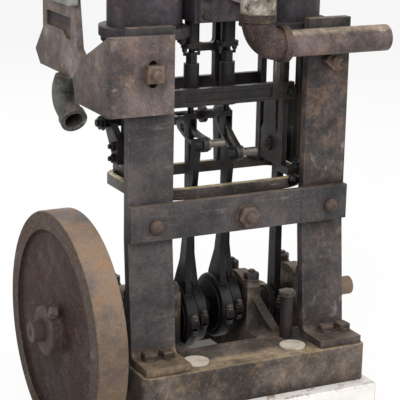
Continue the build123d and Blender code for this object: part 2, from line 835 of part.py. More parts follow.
# Bent plate on the front of the left column, slotted for its bolt, with a side leg that runs back.
bracket_front = column_front + bracket_thickness
with BuildPart() as bracket_plate:
    with BuildSketch(face(-column_front)):
        with Locations((-(bracket_left + bracket_right) / 2, (bracket_top + bracket_bottom) / 2)):
            Rectangle(bracket_left - bracket_right, bracket_top - bracket_bottom)
        with Locations((-column_x - bracket_slot_offset, bracket_bottom + bracket_slot_rise)):
            SlotOverall(bracket_slot_length, bracket_slot_width, rotation=90, mode=Mode.SUBTRACT)
    extrude(amount=bracket_thickness)
    with BuildSketch(section(-bracket_left)):
        with BuildLine():
            Polyline((-bracket_front, bracket_top), (-bracket_front, bracket_bottom),
                     (bracket_rear, bracket_bottom),
                     (seam_low_y, seam_low_z), (seam_high_y, seam_high_z),
                     (bracket_shoulder - bracket_front, bracket_top), close=True)
        make_face()
    extrude(amount=bracket_thickness)
    bend_edges = bracket_plate.edges().filter_by(Axis.Z).filter_by_position(
        Axis.Y, -bracket_front - slide_gap, -bracket_front + slide_gap)
    fillet(bend_edges.sort_by(Axis.X)[0], bracket_bend)
save(bracket_plate, "bracket_plate")

# Arm plate welded on behind the side leg, with a worn pocket in its outer face.
with BuildPart() as arm_plate:
    with BuildSketch(section(-bracket_left)):
        with BuildLine():
            Polyline((seam_high_y, seam_high_z), (seam_low_y, seam_low_z), (arm_rear + arm_heel, seam_low_z),
                     (arm_rear + arm_point, seam_low_z + arm_point_rise),
                     (arm_rear, seam_low_z + arm_shoulder_rise), (arm_rear, arm_top),
                     (arm_front + arm_lean, arm_top),
                     (arm_front, seam_high_z + arm_front_rise), close=True)
        make_face()
    extrude(amount=arm_thickness)
    with BuildSketch(section(-bracket_left)):
        with BuildLine():
            Polyline((pocket_front, pocket_top), (pocket_front, pocket_bottom),
                     (pocket_front + pocket_step, pocket_bottom),
                     (pocket_front + pocket_step + pocket_ramp, pocket_bottom + pocket_rise),
                     (pocket_rear, pocket_bottom + pocket_rise), (pocket_rear, pocket_top), close=True)
        make_face()
    extrude(amount=pocket_depth, mode=Mode.SUBTRACT)
save(arm_plate, "arm_plate")

# Saddle clamp over the top of the arm, with a lip down its outer face.
clamp_rear = clamp_front + clamp_length
with BuildPart() as clamp_block:
    with BuildSketch(section(-bracket_left - clamp_lip)):
        with Locations(((clamp_front + clamp_rear) / 2, arm_top + (clamp_height - clamp_lip_drop) / 2)):
            RectangleRounded(clamp_length, clamp_height + clamp_lip_drop, clamp_round)
    extrude(amount=clamp_lip)
    with BuildSketch(section(-bracket_left)):
        with Locations(((clamp_front + clamp_rear) / 2, arm_top + clamp_height / 2)):
            Rectangle(clamp_length - 2 * clamp_round, clamp_height)
    extrude(amount=arm_thickness + clamp_back)
save(clamp_block, "clamp_block")

# Open-mouthed drain elbow under the arm plate, turned to the front.
drain_x = -bracket_left + arm_thickness / 2
drain_corner = Vector(engine_x + drain_x, drain_back_y, seam_low_z - drain_drop)
drain_mouth = Vector(engine_x + drain_x, drain_mouth_y, seam_low_z - drain_mouth_drop)
drain_seat = Vector(engine_x + drain_x, drain_top_y, seam_low_z)
drain_start = drain_seat + (drain_seat - drain_corner).normalized() * drain_lead
mouth_plane = Plane(drain_mouth, x_dir=(1, 0, 0), z_dir=drain_corner - drain_mouth)
with BuildPart() as drain_elbow:
    with BuildLine():
        FilletPolyline(drain_start, drain_corner, drain_mouth, radius=drain_bend)
    with BuildSketch(Plane(drain_start, x_dir=(1, 0, 0), z_dir=drain_corner - drain_start)):
        Circle(drain_radius)
    sweep()
    with BuildSketch(mouth_plane):
        Circle(drain_collar_radius)
    extrude(amount=drain_collar_length)
    with BuildSketch(mouth_plane):
        Circle(drain_bore)
    extrude(amount=drain_bore_depth, mode=Mode.SUBTRACT)
    with BuildSketch(level(seam_low_z)):
        with Locations((drain_x, drain_top_y)):
            Rectangle(4 * drain_radius, 4 * drain_radius)
    extrude(amount=drain_lead + drain_radius, mode=Mode.SUBTRACT)
save(drain_elbow, "drain_elbow")

# Crankshaft with two opposed cranks.
with BuildPart() as crankshaft:
    with BuildSketch(section(-shaft_left_reach)):
        with Locations((0, shaft_z)):
            Circle(shaft_radius)
    extrude(amount=shaft_left_reach + shaft_right_reach - shaft_end_length)
    with BuildSketch(section(shaft_right_reach)):
        with Locations((0, shaft_z)):
            Circle(shaft_end_radius)
    extrude(amount=-shaft_end_length)
    for side, _ in sides:
        with BuildSketch(section(side * cylinder_x)):
            with Locations((0, shaft_z)):
                Circle(crank_web_width)
        extrude(amount=crank_pin_length / 2, both=True, mode=Mode.SUBTRACT)
        for web in (-1, 1):
            web_x = side * cylinder_x + web * (crank_pin_length + crank_web_thickness) / 2
            with BuildSketch(section(web_x)):
                with Locations((0, shaft_z - side * crank_throw / 2)):
                    SlotCenterToCenter(crank_throw, crank_web_width, rotation=90)
            extrude(amount=crank_web_thickness / 2, both=True)
        with BuildSketch(section(side * cylinder_x)):
            with Locations((0, shaft_z - side * crank_throw)):
                Circle(crank_pin_radius)
        extrude(amount=crank_pin_length / 2, both=True)
save(crankshaft, "crankshaft")

# Flywheel: a disc with a shallow recess in front, a deeper one behind, and a long hub.
with BuildPart() as flywheel:
    with BuildSketch(section(flywheel_middle)):
        with Locations((0, shaft_z)):
            Circle(flywheel_radius)
    extrude(amount=flywheel_width / 2, both=True)
    fillet(flywheel.edges(), flywheel_edge)
    for recess_x, recess in ((-flywheel_left, flywheel_recess),
                             (flywheel_width - flywheel_left, -flywheel_back_recess)):
        with BuildSketch(section(recess_x)):
            with Locations((0, shaft_z)):
                Circle(flywheel_radius - flywheel_rim)
        extrude(amount=recess, mode=Mode.SUBTRACT)
    with BuildSketch(section(-flywheel_left - hub_boss)):
        with Locations((0, shaft_z)):
            Circle(hub_radius)
    extrude(amount=hub_length)
    fillet(flywheel.faces().sort_by(Axis.X)[0].edges(), hub_edge)
    web_edges = flywheel.faces().filter_by(Plane.YZ).sort_by(Axis.X)[2].edges()
    fillet(web_edges.sort_by(SortBy.RADIUS)[0], hub_root)
    with BuildSketch(section(-flywheel_left - hub_boss)):
        with Locations((0, shaft_z)):
            Circle(shaft_radius + running_fit)
    extrude(amount=hub_length, mode=Mode.SUBTRACT)
save(flywheel, "flywheel")

# Two eccentrics for each link: the left one of each pair drives its front end, the other its rear end.
eccentrics = (("left_outer", -1, -1), ("left_inner", -1, 1), ("right_inner", 1, -1), ("right_outer", 1, 1))


def eccentric_x(side, end):
    return valve_xs[side] + end * eccentric_pitch / 2


def sheave_centre(side, end):
    advance = radians(eccentric_advance)
    return (end * eccentric_throw * cos(advance), shaft_z + side * eccentric_throw * sin(advance))


with BuildPart() as eccentric_sheaves:
    for _, side, end in eccentrics:
        with BuildSketch(section(eccentric_x(side, end))):
            with Locations(sheave_centre(side, end)):
                Circle(sheave_radius)
            with Locations((0, shaft_z)):
                Circle(shaft_radius + running_fit, mode=Mode.SUBTRACT)
        extrude(amount=sheave_width / 2, both=True)
save(eccentric_sheaves, "eccentric_sheaves")

# Connecting rods, flat and tapered, with a block big end.
for side, name in sides:
    pin_low = shaft_z - side * crank_throw
    with BuildPart() as connecting_rod:
        with BuildSketch(section(side * cylinder_x)):
            with BuildLine():
                Polyline((-rod_bottom_width / 2, pin_low), (rod_bottom_width / 2, pin_low),
                         (rod_top_width / 2, pin_low + rod_length),
                         (-rod_top_width / 2, pin_low + rod_length), close=True)
            make_face()
            with Locations((0, pin_low + rod_length)):
                Circle(rod_eye_radius)
        extrude(amount=rod_thickness / 2, both=True)
        with BuildSketch(section(side * cylinder_x)):
            with Locations((0, pin_low)):
                RectangleRounded(big_end_depth, big_end_height, big_end_round)
        extrude(amount=big_end_width / 2, both=True)
        with BuildSketch(section(side * cylinder_x)):
            with Locations((0, pin_low)):
                Circle(crank_pin_radius + running_fit)
        extrude(amount=big_end_width / 2, both=True, mode=Mode.SUBTRACT)
    save(connecting_rod, f"{name}_connecting_rod")

# Eccentric rods: a bolted strap round each sheave, a palm, and a blade up to one end of a link.
strap_radius = sheave_radius + running_fit + strap_wall
for name, side, end in eccentrics:
    strap_section = section(eccentric_x(side, end))
    low_y, low_z = sheave_centre(side, end)
    eye_y, eye_z = link_end(side, end)
    reach = hypot(eye_y - low_y, eye_z - low_z)
    blade = Plane(strap_section.from_local_coords((low_y, low_z, 0)), x_dir=(0, eye_y - low_y, eye_z - low_z),
                  z_dir=(1, 0, 0))
    palm_end = strap_radius + palm_length
    with BuildPart() as eccentric_rod:
        with BuildSketch(blade):
            Circle(strap_radius)
        extrude(amount=strap_width / 2, both=True)
        fillet(eccentric_rod.edges().filter_by(GeomType.CIRCLE), strap_round)
        with BuildSketch(strap_section):
            with Locations((low_y, low_z)):
                RectangleRounded(2 * (strap_radius + strap_lug_reach), strap_lug_height, strap_lug_round)
        extrude(amount=strap_lug_width / 2, both=True)
        with BuildSketch(blade):
            with BuildLine():
                Polyline((0, -palm_width / 2), (strap_radius, -palm_width / 2),
                         (palm_end, -eccentric_rod_bottom / 2),
                         (reach, -eccentric_rod_top / 2), (reach, eccentric_rod_top / 2),
                         (palm_end, eccentric_rod_bottom / 2), (strap_radius, palm_width / 2),
                         (0, palm_width / 2), close=True)
            make_face()
            with Locations((reach, 0)):
                Circle(eccentric_eye_radius)
        extrude(amount=eccentric_rod_thickness / 2, both=True)
        with BuildSketch(blade):
            Circle(sheave_radius + running_fit)
        extrude(amount=strap_width / 2, both=True, mode=Mode.SUBTRACT)
    save(eccentric_rod, f"{name}_eccentric_rod")
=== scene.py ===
import math
import bpy
from mathutils import Matrix, Vector


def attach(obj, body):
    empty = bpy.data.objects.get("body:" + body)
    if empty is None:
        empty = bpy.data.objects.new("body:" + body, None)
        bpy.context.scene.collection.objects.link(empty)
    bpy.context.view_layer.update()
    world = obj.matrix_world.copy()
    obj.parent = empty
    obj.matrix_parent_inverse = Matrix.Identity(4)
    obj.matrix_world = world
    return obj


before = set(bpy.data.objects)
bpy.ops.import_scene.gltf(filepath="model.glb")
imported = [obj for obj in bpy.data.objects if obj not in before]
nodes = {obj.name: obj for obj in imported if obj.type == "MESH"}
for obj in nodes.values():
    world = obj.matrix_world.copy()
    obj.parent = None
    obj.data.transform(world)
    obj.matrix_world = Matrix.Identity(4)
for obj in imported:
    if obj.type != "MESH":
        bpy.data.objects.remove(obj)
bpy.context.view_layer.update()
scene = bpy.context.scene
scene.view_settings.view_transform = "Standard"

engineX = 0.021  # the engine's middle plane stands a little right of the frame's origin
shaftZ = 0.207


def spot(x, y, z):  # millimetres from the engine's middle plane, to metres in the frame
    return Vector((x / 1000 + engineX, y / 1000, z / 1000))


# camera

viewpoint = {
    "place": (-1.0467, -2.0659, 1.0343),
    "turn": 0.469,
    "dip": 0.27,
    "roll": -0.02,
    "lens": 131.64,
}


def placeCamera(v):
    turn, dip, roll = v["turn"], v["dip"], v["roll"]
    ahead = Vector((math.sin(turn) * math.cos(dip), math.cos(turn) * math.cos(dip), -math.sin(dip)))
    right = Vector((math.cos(turn), -math.sin(turn), 0))
    down = ahead.cross(right)
    across = right * math.cos(roll) + down * math.sin(roll)
    drop = down * math.cos(roll) - right * math.sin(roll)
    stand = Matrix((across, -drop, -ahead)).transposed().to_4x4()
    stand.translation = v["place"]
    data = bpy.data.cameras.new("viewpoint")
    data.lens = v["lens"]
    data.sensor_width = 36
    data.clip_end = 50
    camera = bpy.data.objects.new("viewpoint", data)
    camera.matrix_world = stand
    scene.collection.objects.link(camera)
    scene.camera = camera


placeCamera(viewpoint)
print("camera placed")


# wiring of node trees

class Sheet:
    def __init__(self, tree):
        self.tree = tree

    def node(self, kind, **values):  # settings are written in lower case, inputs by their names
        made = self.tree.nodes.new(kind if "Node" in kind else "ShaderNode" + kind)
        for key, value in values.items():
            if key.islower():
                setattr(made, key, value)
            else:
                self.put(made.inputs[key.replace("_", " ")], value)
        return made

    def wire(self, source, target):
        self.tree.links.new(source, target)

    def put(self, target, value):
        if isinstance(value, bpy.types.NodeSocket):
            self.wire(value, target)
        else:
            target.default_value = value

    def sum(self, operation, a, b=None, clamp=False):
        made = self.node("Math", operation=operation, use_clamp=clamp)
        self.put(made.inputs[0], a)
        if b is not None:
            self.put(made.inputs[1], b)
        return made.outputs[0]

    def times(self, a, b, clamp=False):
        return self.sum("MULTIPLY", a, b, clamp)

    def vector(self, operation, a, b):
        made = self.node("VectorMath", operation=operation)
        self.put(made.inputs[0], a)
        self.put(made.inputs[1], b)
        return made.outputs["Value" if operation == "DOT_PRODUCT" else "Vector"]

    def where(self):
        return self.node("TexCoord").outputs["Object"]

    def split(self, vector):
        made = self.node("SeparateXYZ", Vector=vector)
        return made.outputs[0], made.outputs[1], made.outputs[2]

    def reach(self, y, z):  # distance from an axis along x
        return self.sum("SQRT", self.sum("ADD", self.times(z, z), self.times(y, y)))

    def blend(self, share, low, high, kind="MIX"):
        made = self.node("Mix", data_type="RGBA", blend_type=kind)
        for index, value in ((0, share), (6, low), (7, high)):
            if isinstance(value, tuple) and len(value) == 3:
                value = (*value, 1)
            self.put(made.inputs[index], value)
        return made.outputs[2]

    def tint(self, colour, tone, mask, share=None):
        return self.blend(mask if share is None else self.times(mask, share), colour, tone)

    def fit(self, value, low, high, bottom=0.0, top=1.0):
        made = self.node("MapRange", interpolation_type="SMOOTHSTEP")
        for index, number in enumerate((value, low, high, bottom, top)):
            self.put(made.inputs[index], number)
        return made.outputs[0]

    def noise(self, vector, scale, detail=6.0, rough=0.6):
        return self.node("TexNoise", Vector=vector, Scale=scale, Detail=detail, Roughness=rough).outputs["Fac"]

    def seen(self):  # 1 where the camera looks, straight, in a reflection or through glass
        path = self.node("LightPath").outputs
        bounced = self.sum("MAXIMUM", path["Is Glossy Ray"], path["Is Transmission Ray"])
        return self.sum("MAXIMUM", path["Is Camera Ray"], bounced)

    def mixShaders(self, share, low, high):
        made = self.node("MixShader")
        for index, value in enumerate((share, low, high)):
            self.wire(value, made.inputs[index])
        return made.outputs[0]


# backdrop and light

studio = {
    "floor": (0.86, 0.855, 0.84),
    "backdrop": (1.0, 1.0, 1.0),
    "floorGlow": 0.8,
    "worldStrength": 0.62,
    "lamps": [
        {"name": "keyLamp", "place": (-1.5, -2.2, 2.6), "aim": (0, 0, 0.4), "size": 1.8, "power": 62},
        {"name": "fillLamp", "place": (2.0, -1.7, 1.7), "aim": (0, 0, 0.4), "size": 2.0, "power": 34},
        {"name": "backLamp", "place": (0.3, 2.4, 2.3), "aim": (0, 0, 0.5), "size": 2.0, "power": 30},
    ],
}


def lightStudio(s):
    world = bpy.data.worlds.new("studio")
    scene.world = world
    world.use_nodes = True
    sky = Sheet(world.node_tree)
    sky.tree.nodes.clear()
    glow = sky.node("Background", Color=(1, 1, 1, 1), Strength=s["worldStrength"])
    backdrop = sky.node("Background", Color=(*s["backdrop"], 1), Strength=1)
    sky.node("OutputWorld", Surface=sky.mixShaders(sky.seen(), glow.outputs[0], backdrop.outputs[0]))
    for lamp in s["lamps"]:
        data = bpy.data.lights.new(lamp["name"], "AREA")
        data.shape = "DISK"
        data.size = lamp["size"]
        data.energy = lamp["power"]
        holder = bpy.data.objects.new(lamp["name"], data)
        holder.location = lamp["place"]
        away = Vector(lamp["aim"]) - Vector(lamp["place"])
        holder.rotation_euler = away.to_track_quat("-Z", "Y").to_euler()
        scene.collection.objects.link(holder)


lightStudio(studio)


# shared surface effects, as node groups

def newGroup(name, inputs, outputs):
    group = bpy.data.node_groups.new(name, "ShaderNodeTree")
    for label, kind, value in inputs:
        socket = group.interface.new_socket(label, in_out="INPUT", socket_type="NodeSocket" + kind)
        socket.default_value = value
    for label, kind in outputs:
        group.interface.new_socket(label, in_out="OUTPUT", socket_type="NodeSocket" + kind)
    given = group.nodes.new("NodeGroupInput").outputs
    out = group.nodes.new("NodeGroupOutput").inputs
    return group, Sheet(group), given, out


def makeRustBloom():
    group, s, given, out = newGroup(
        "rustBloom",
        [("Scale", "Float", 20.0), ("Cover", "Float", 0.4), ("Softness", "Float", 0.1), ("Shift", "Float", 0.0)],
        [("Mask", "Float"), ("Cloud", "Float")],
    )
    moved = s.vector("ADD", s.where(), given["Shift"])
    broad = s.noise(moved, given["Scale"], detail=9.0, rough=0.68)
    level = s.sum("SUBTRACT", 1.0, given["Cover"])
    low = s.sum("SUBTRACT", level, given["Softness"])
    high = s.sum("ADD", level, given["Softness"])
    s.wire(s.fit(broad, low, high), out["Mask"])
    s.wire(broad, out["Cloud"])
    return group


def makeEdgeWear():
    group, s, given, out = newGroup(
        "edgeWear",
        [("Radius", "Float", 0.0015), ("Breakup", "Float", 90.0)],
        [("Mask", "Float"), ("Normal", "Vector")],
    )
    bevel = s.node("Bevel", samples=6, Radius=given["Radius"]).outputs[0]
    flat = s.node("NewGeometry").outputs["Normal"]
    edge = s.fit(s.vector("DOT_PRODUCT", bevel, flat), 0.99, 0.86)
    patch = s.fit(s.noise(s.where(), given["Breakup"], detail=4.0), 0.35, 0.6)
    s.wire(s.times(edge, patch), out["Mask"])
    s.wire(bevel, out["Normal"])
    return group


def makeCornerGrimeAndShade():
    group, s, given, out = newGroup(
        "cornerGrimeAndShade",
        [("Reach", "Float", 0.02), ("Amount", "Float", 1.0)],
        [("Mask", "Float")],
    )
    # ambient occlusion darkens corners and creases: dirt and painted shade
    shade = s.node("AmbientOcclusion", samples=6, Distance=given["Reach"])
    dirtAndShade = s.fit(shade.outputs["AO"], 0.95, 0.35)
    uneven = s.fit(s.noise(s.where(), 45.0, detail=5.0), 0.2, 0.65, 0.45, 1.0)
    s.wire(s.times(s.times(dirtAndShade, uneven), given["Amount"], clamp=True), out["Mask"])
    return group


def makeCastGrain():
    group, s, given, out = newGroup(
        "castGrain",
        [("Grain", "Float", 320.0), ("Pits", "Float", 120.0), ("Lumps", "Float", 26.0)],
        [("Height", "Float"), ("Speckle", "Float")],
    )
    where = s.where()
    fine = s.noise(where, given["Grain"], detail=4.0)
    lumps = s.noise(where, given["Lumps"], detail=3.0, rough=0.5)
    pit = s.node("TexVoronoi", Vector=where, Scale=given["Pits"])
    hole = s.fit(pit.outputs["Distance"], 0.0, 0.28)
    speck = s.fit(s.noise(where, given["Grain"], detail=2.0, rough=0.7), 0.52, 0.72)
    height = s.sum("ADD", s.times(fine, 0.35), s.times(lumps, 0.5))
    s.wire(s.sum("ADD", height, s.times(hole, 0.25)), out["Height"])
    s.wire(speck, out["Speckle"])
    return group


def makeRunStains():
    group, s, given, out = newGroup(
        "runStains",
        [("Width", "Float", 60.0), ("Length", "Float", 5.0), ("Amount", "Float", 0.5)],
        [("Mask", "Float")],
    )
    stretch = s.node("CombineXYZ", X=given["Width"], Y=given["Width"], Z=given["Length"])
    pulled = s.vector("MULTIPLY", s.where(), stretch.outputs[0])
    runs = s.fit(s.noise(pulled, 1.0, detail=5.0, rough=0.62), 0.5, 0.72)
    s.wire(s.times(runs, given["Amount"], clamp=True), out["Mask"])
    return group


def makeScuffs():
    group, s, given, out = newGroup(
        "scuffs",
        [("Stretch", "Vector", (80.0, 80.0, 16.0)), ("Shift", "Float", 0.0)],
        [("Mask", "Float")],
    )
    moved = s.vector("ADD", s.where(), given["Shift"])
    pulled = s.vector("MULTIPLY", moved, given["Stretch"])
    streak = s.fit(s.noise(pulled, 1.0, detail=7.0, rough=0.7), 0.54, 0.66)
    patch = s.fit(s.noise(moved, 15.0, detail=4.0), 0.46, 0.60)
    s.wire(s.times(streak, patch), out["Mask"])
    return group


def makeTopDustAndLight():
    group, s, given, out = newGroup("topDustAndLight", [("Amount", "Float", 0.5)], [("Mask", "Float")])
    # upward faces: dust, together with painted light that makes the tops lighter
    flatness = s.fit(s.split(s.node("NewGeometry").outputs["Normal"])[2], 0.55, 0.95)
    uneven = s.fit(s.noise(s.where(), 34.0, rough=0.65), 0.32, 0.62, 0.3, 1.0)
    s.wire(s.times(s.times(flatness, uneven), given["Amount"], clamp=True), out["Mask"])
    return group


effects = {
    "scuffs": makeScuffs(),
    "topDustAndLight": makeTopDustAndLight(),
    "rustBloom": makeRustBloom(),
    "edgeWear": makeEdgeWear(),
    "cornerGrimeAndShade": makeCornerGrimeAndShade(),
    "castGrain": makeCastGrain(),
    "runStains": makeRunStains(),
}
print("surface effects ready")


# finishes

cloudSpan, roughSpan = (0.36, 0.64), (0.3, 0.7)  # where the cloud noise lies


class Finish(Sheet):
    def __init__(self, name):
        self.material = bpy.data.materials.new(name)
        self.material.use_nodes = True
        super().__init__(self.material.node_tree)
        self.shader = self.tree.nodes["Principled BSDF"]

    def effect(self, name, **values):
        return self.node("Group", node_tree=effects[name], **values).outputs

    def bloom(self, scale, cover, soft, shift):
        return self.effect("rustBloom", Scale=scale, Cover=cover, Softness=soft, Shift=shift)

    def surface(self, edge, reach, amount, grain=320.0, breakup=90.0):  # worn edges, dirt and painted shade in corners, cast grain
        wear = self.effect("edgeWear", Radius=edge, Breakup=breakup)
        grimeAndShade = self.effect("cornerGrimeAndShade", Reach=reach, Amount=amount)
        return wear, grimeAndShade, self.effect("castGrain", Grain=grain)

    def set(self, **values):
        for key, value in values.items():
            socket = self.shader.inputs[key.replace("_", " ")]
            if isinstance(value, tuple) and len(value) == 3:
                value = (*value, 1)
            self.put(socket, value)

    def coat(self, colour, cloud, rough, relief, normal, **values):  # relief: height, strength, distance
        height, strength, distance = relief
        bump = self.node("Bump", Strength=strength, Distance=distance, Height=height, Normal=normal).outputs[0]
        self.set(Base_Color=colour, Roughness=self.fit(cloud, *roughSpan, *rough), Normal=bump, **values)
        return self.material


def darker(tone, share):
    return tuple(c * share for c in tone)


plainTopCover = (0.225, 0.165, 0.112)
pitStretch = (190.0, 190.0, 75.0)

ironLooks = {
    "barSteel": {
        "dark": (0.031, 0.03, 0.034), "mid": (0.066, 0.058, 0.057), "rust": (0.115, 0.07, 0.046),
        "worn": (0.22, 0.195, 0.175), "rustScale": 19.0, "rustCover": 0.32, "rough": (0.42, 0.7), "shift": 0.0,
        "grimeAndShade": 0.6, "runs": 0.45, "topCover": 0.5, "scuff": 0.3, "stretch": (14.0, 14.0, 120.0), "contrast": 0.22,
        "foot": {"below": (0.202, 0.186), "tone": (0.2, 0.138, 0.08), "share": 0.75},
    },
    "rustedBar": {
        "dark": (0.026, 0.0245, 0.028), "mid": (0.053, 0.046, 0.046), "rust": (0.132, 0.08, 0.053),
        "worn": (0.23, 0.195, 0.165), "rustScale": 24.0, "rustCover": 0.46, "rough": (0.44, 0.72), "shift": 1.5,
        "grimeAndShade": 0.6, "runs": 0.4, "scuff": 0.45, "topCover": 0.6, "stretch": (46.0, 46.0, 30.0), "contrast": 0.28,
        "pits": 0.55, "rustFrom": (0.27, 0.52),
        "foot": {"below": (0.202, 0.186), "tone": (0.112, 0.084, 0.068), "share": 0.7},
    },
    "armSteel": {
        "dark": (0.1, 0.08, 0.076), "mid": (0.228, 0.186, 0.174), "rust": (0.235, 0.152, 0.104),
        "worn": (0.4, 0.355, 0.315), "rustScale": 22.0, "rustCover": 0.4, "rough": (0.5, 0.76), "shift": 4.5,
        "grimeAndShade": 0.6, "runs": 0.4, "scuff": 0.5, "stretch": (40.0, 40.0, 40.0), "contrast": 0.2,
        "pocket": {
            "floor": (0.022, 0.018, 0.018), "crumbs": (0.24, 0.17, 0.085), "face": -0.2285, "front": 0.0465,
            "top": 0.6975, "rise": (0.684, 0.672),
        },
    },
    "bracketSteel": {
        "dark": (0.054, 0.044, 0.044), "mid": (0.128, 0.098, 0.092), "rust": (0.17, 0.104, 0.068),
        "worn": (0.32, 0.28, 0.245), "rustScale": 20.0, "rustCover": 0.4, "rough": (0.5, 0.76), "shift": 3.0,
        "grimeAndShade": 0.5, "runs": 0.35, "scuff": 0.6, "stretch": (40.0, 40.0, 40.0), "contrast": 0.26, "pits": 0.3,
    },
    "bedIron": {
        "dark": (0.047, 0.04, 0.036), "mid": (0.128, 0.103, 0.088), "rust": (0.215, 0.134, 0.074),
        "worn": (0.3, 0.255, 0.205), "rustScale": 22.0, "rustCover": 0.4, "rough": (0.55, 0.82), "shift": 7.0,
        "grimeAndShade": 0.9, "runs": 0.4, "topCover": 0.85, "topCoverFrom": (-0.128, -0.153), "topCoverTone": (0.33, 0.244, 0.15),
        "scuff": 0.35, "stretch": (46.0, 46.0, 30.0), "contrast": 0.3, "pits": 0.35,
    },
    "cylinderIron": {
        "dark": (0.023, 0.02, 0.025), "mid": (0.053, 0.045, 0.053), "rust": (0.09, 0.06, 0.052),
        "worn": (0.16, 0.148, 0.14), "rustScale": 16.0, "rustCover": 0.38, "rough": (0.42, 0.72), "shift": 11.0,
        "grimeAndShade": 0.6, "runs": 0.4, "topCover": 0.15, "contrast": 0.28,
    },
    "pipeIron": {
        "dark": (0.049, 0.036, 0.035), "mid": (0.113, 0.085, 0.083), "rust": (0.168, 0.104, 0.07),
        "worn": (0.33, 0.285, 0.245), "rustScale": 20.0, "rustCover": 0.4, "rough": (0.42, 0.66), "shift": 15.0,
        "grimeAndShade": 0.5, "runs": 0.2, "scuff": 0.5, "stretch": (40.0, 40.0, 40.0), "topCover": 0.75,
        "topCoverTone": (0.36, 0.285, 0.205), "contrast": 0.32,
    },
    "elbowIron": {
        "dark": (0.034, 0.022, 0.022), "mid": (0.076, 0.051, 0.049), "rust": (0.14, 0.082, 0.052),
        "worn": (0.4, 0.305, 0.16), "rustScale": 26.0, "rustCover": 0.36, "rough": (0.44, 0.7), "shift": 17.0,
        "grimeAndShade": 0.55, "runs": 0.2, "topCover": 0.2, "contrast": 0.26,
    },
    "oilySteel": {
        "dark": (0.0032, 0.0027, 0.0033), "mid": (0.009, 0.0074, 0.008), "rust": (0.03, 0.018, 0.013),
        "worn": (0.11, 0.1, 0.095), "rustScale": 30.0, "rustCover": 0.3, "rough": (0.28, 0.54), "shift": 19.0,
        "grimeAndShade": 0.6, "runs": 0.2, "gloss": 0.19, "topCover": 0.0,
    },
    "guideIron": {
        "dark": (0.011, 0.0092, 0.0102), "mid": (0.027, 0.021, 0.02), "rust": (0.055, 0.034, 0.025),
        "worn": (0.17, 0.152, 0.135), "rustScale": 24.0, "rustCover": 0.32, "rough": (0.3, 0.58), "shift": 21.0,
        "grimeAndShade": 0.65, "runs": 0.3, "gloss": 0.25, "topCover": 0.08,
    },
    "ringIron": {
        "dark": (0.028, 0.024, 0.024), "mid": (0.062, 0.051, 0.047), "rust": (0.115, 0.07, 0.044),
        "worn": (0.44, 0.355, 0.21), "rustScale": 26.0, "rustCover": 0.36, "rough": (0.3, 0.56), "shift": 23.0,
        "grimeAndShade": 0.5, "runs": 0.1, "gloss": 0.34, "scuff": 0.55, "stretch": (13.0, 13.0, 95.0), "topCover": 0.9,
        "topCoverTone": (0.44, 0.335, 0.165), "contrast": 0.28,
    },
    "capIron": {
        "dark": (0.062, 0.047, 0.038), "mid": (0.14, 0.108, 0.084), "rust": (0.17, 0.105, 0.064),
        "worn": (0.31, 0.27, 0.23), "rustScale": 34.0, "rustCover": 0.36, "rough": (0.5, 0.78), "shift": 27.0,
        "grimeAndShade": 0.7, "runs": 0.1, "topCover": 0.5,
    },
    "rustedNut": {
        "dark": (0.082, 0.057, 0.045), "mid": (0.16, 0.117, 0.095), "rust": (0.215, 0.118, 0.066),
        "worn": (0.34, 0.27, 0.225), "rustScale": 55.0, "rustCover": 0.42, "rough": (0.5, 0.78), "shift": 29.0,
        "grimeAndShade": 0.7, "runs": 0.0,
    },
    "brownNut": {
        "dark": (0.042, 0.03, 0.027), "mid": (0.086, 0.062, 0.054), "rust": (0.15, 0.085, 0.052),
        "worn": (0.28, 0.225, 0.19), "rustScale": 55.0, "rustCover": 0.38, "rough": (0.48, 0.74), "shift": 30.0,
        "grimeAndShade": 0.7, "runs": 0.0,
    },
    "darkNut": {
        "dark": (0.017, 0.0145, 0.0145), "mid": (0.044, 0.036, 0.032), "rust": (0.09, 0.054, 0.036),
        "worn": (0.22, 0.19, 0.165), "rustScale": 60.0, "rustCover": 0.34, "rough": (0.38, 0.64), "shift": 33.0,
        "grimeAndShade": 0.7, "runs": 0.0, "gloss": 0.3,
    },
    "paleIron": {
        "dark": (0.15, 0.143, 0.132), "mid": (0.27, 0.262, 0.246), "rust": (0.2, 0.15, 0.11),
        "worn": (0.42, 0.4, 0.37), "rustScale": 28.0, "rustCover": 0.34, "rough": (0.5, 0.8), "shift": 31.0,
        "grimeAndShade": 0.75, "runs": 0.35,
    },
    "drainIron": {
        "dark": (0.027, 0.026, 0.024), "mid": (0.09, 0.089, 0.082), "rust": (0.095, 0.064, 0.046),
        "worn": (0.4, 0.385, 0.345), "rustScale": 30.0, "rustCover": 0.38, "rough": (0.46, 0.76), "shift": 35.0,
        "grimeAndShade": 0.9, "runs": 0.4, "scuff": 0.6, "stretch": (36.0, 36.0, 36.0), "contrast": 0.34,
    },
}


def paintPocketShade(f, pocket, place, fleck, colour):  # painted shade at the top of the pocket, with yellow crumbs lying in the bottom
    x, y, z = place
    inside = f.sum("GREATER_THAN", f.sum("SUBTRACT", x, engineX), pocket["face"])
    behind = f.sum("GREATER_THAN", y, pocket["front"])
    under = f.sum("LESS_THAN", z, pocket["top"])
    crumbs = f.times(f.fit(z, *pocket["rise"]), f.sum("ADD", f.times(fleck, 0.5), 0.4))
    # the pocket's "floor" colour is its painted shade
    shadeAndCrumbs = f.blend(crumbs, pocket["floor"], pocket["crumbs"])
    return f.tint(colour, shadeAndCrumbs, f.times(f.times(inside, behind), under), share=0.85)


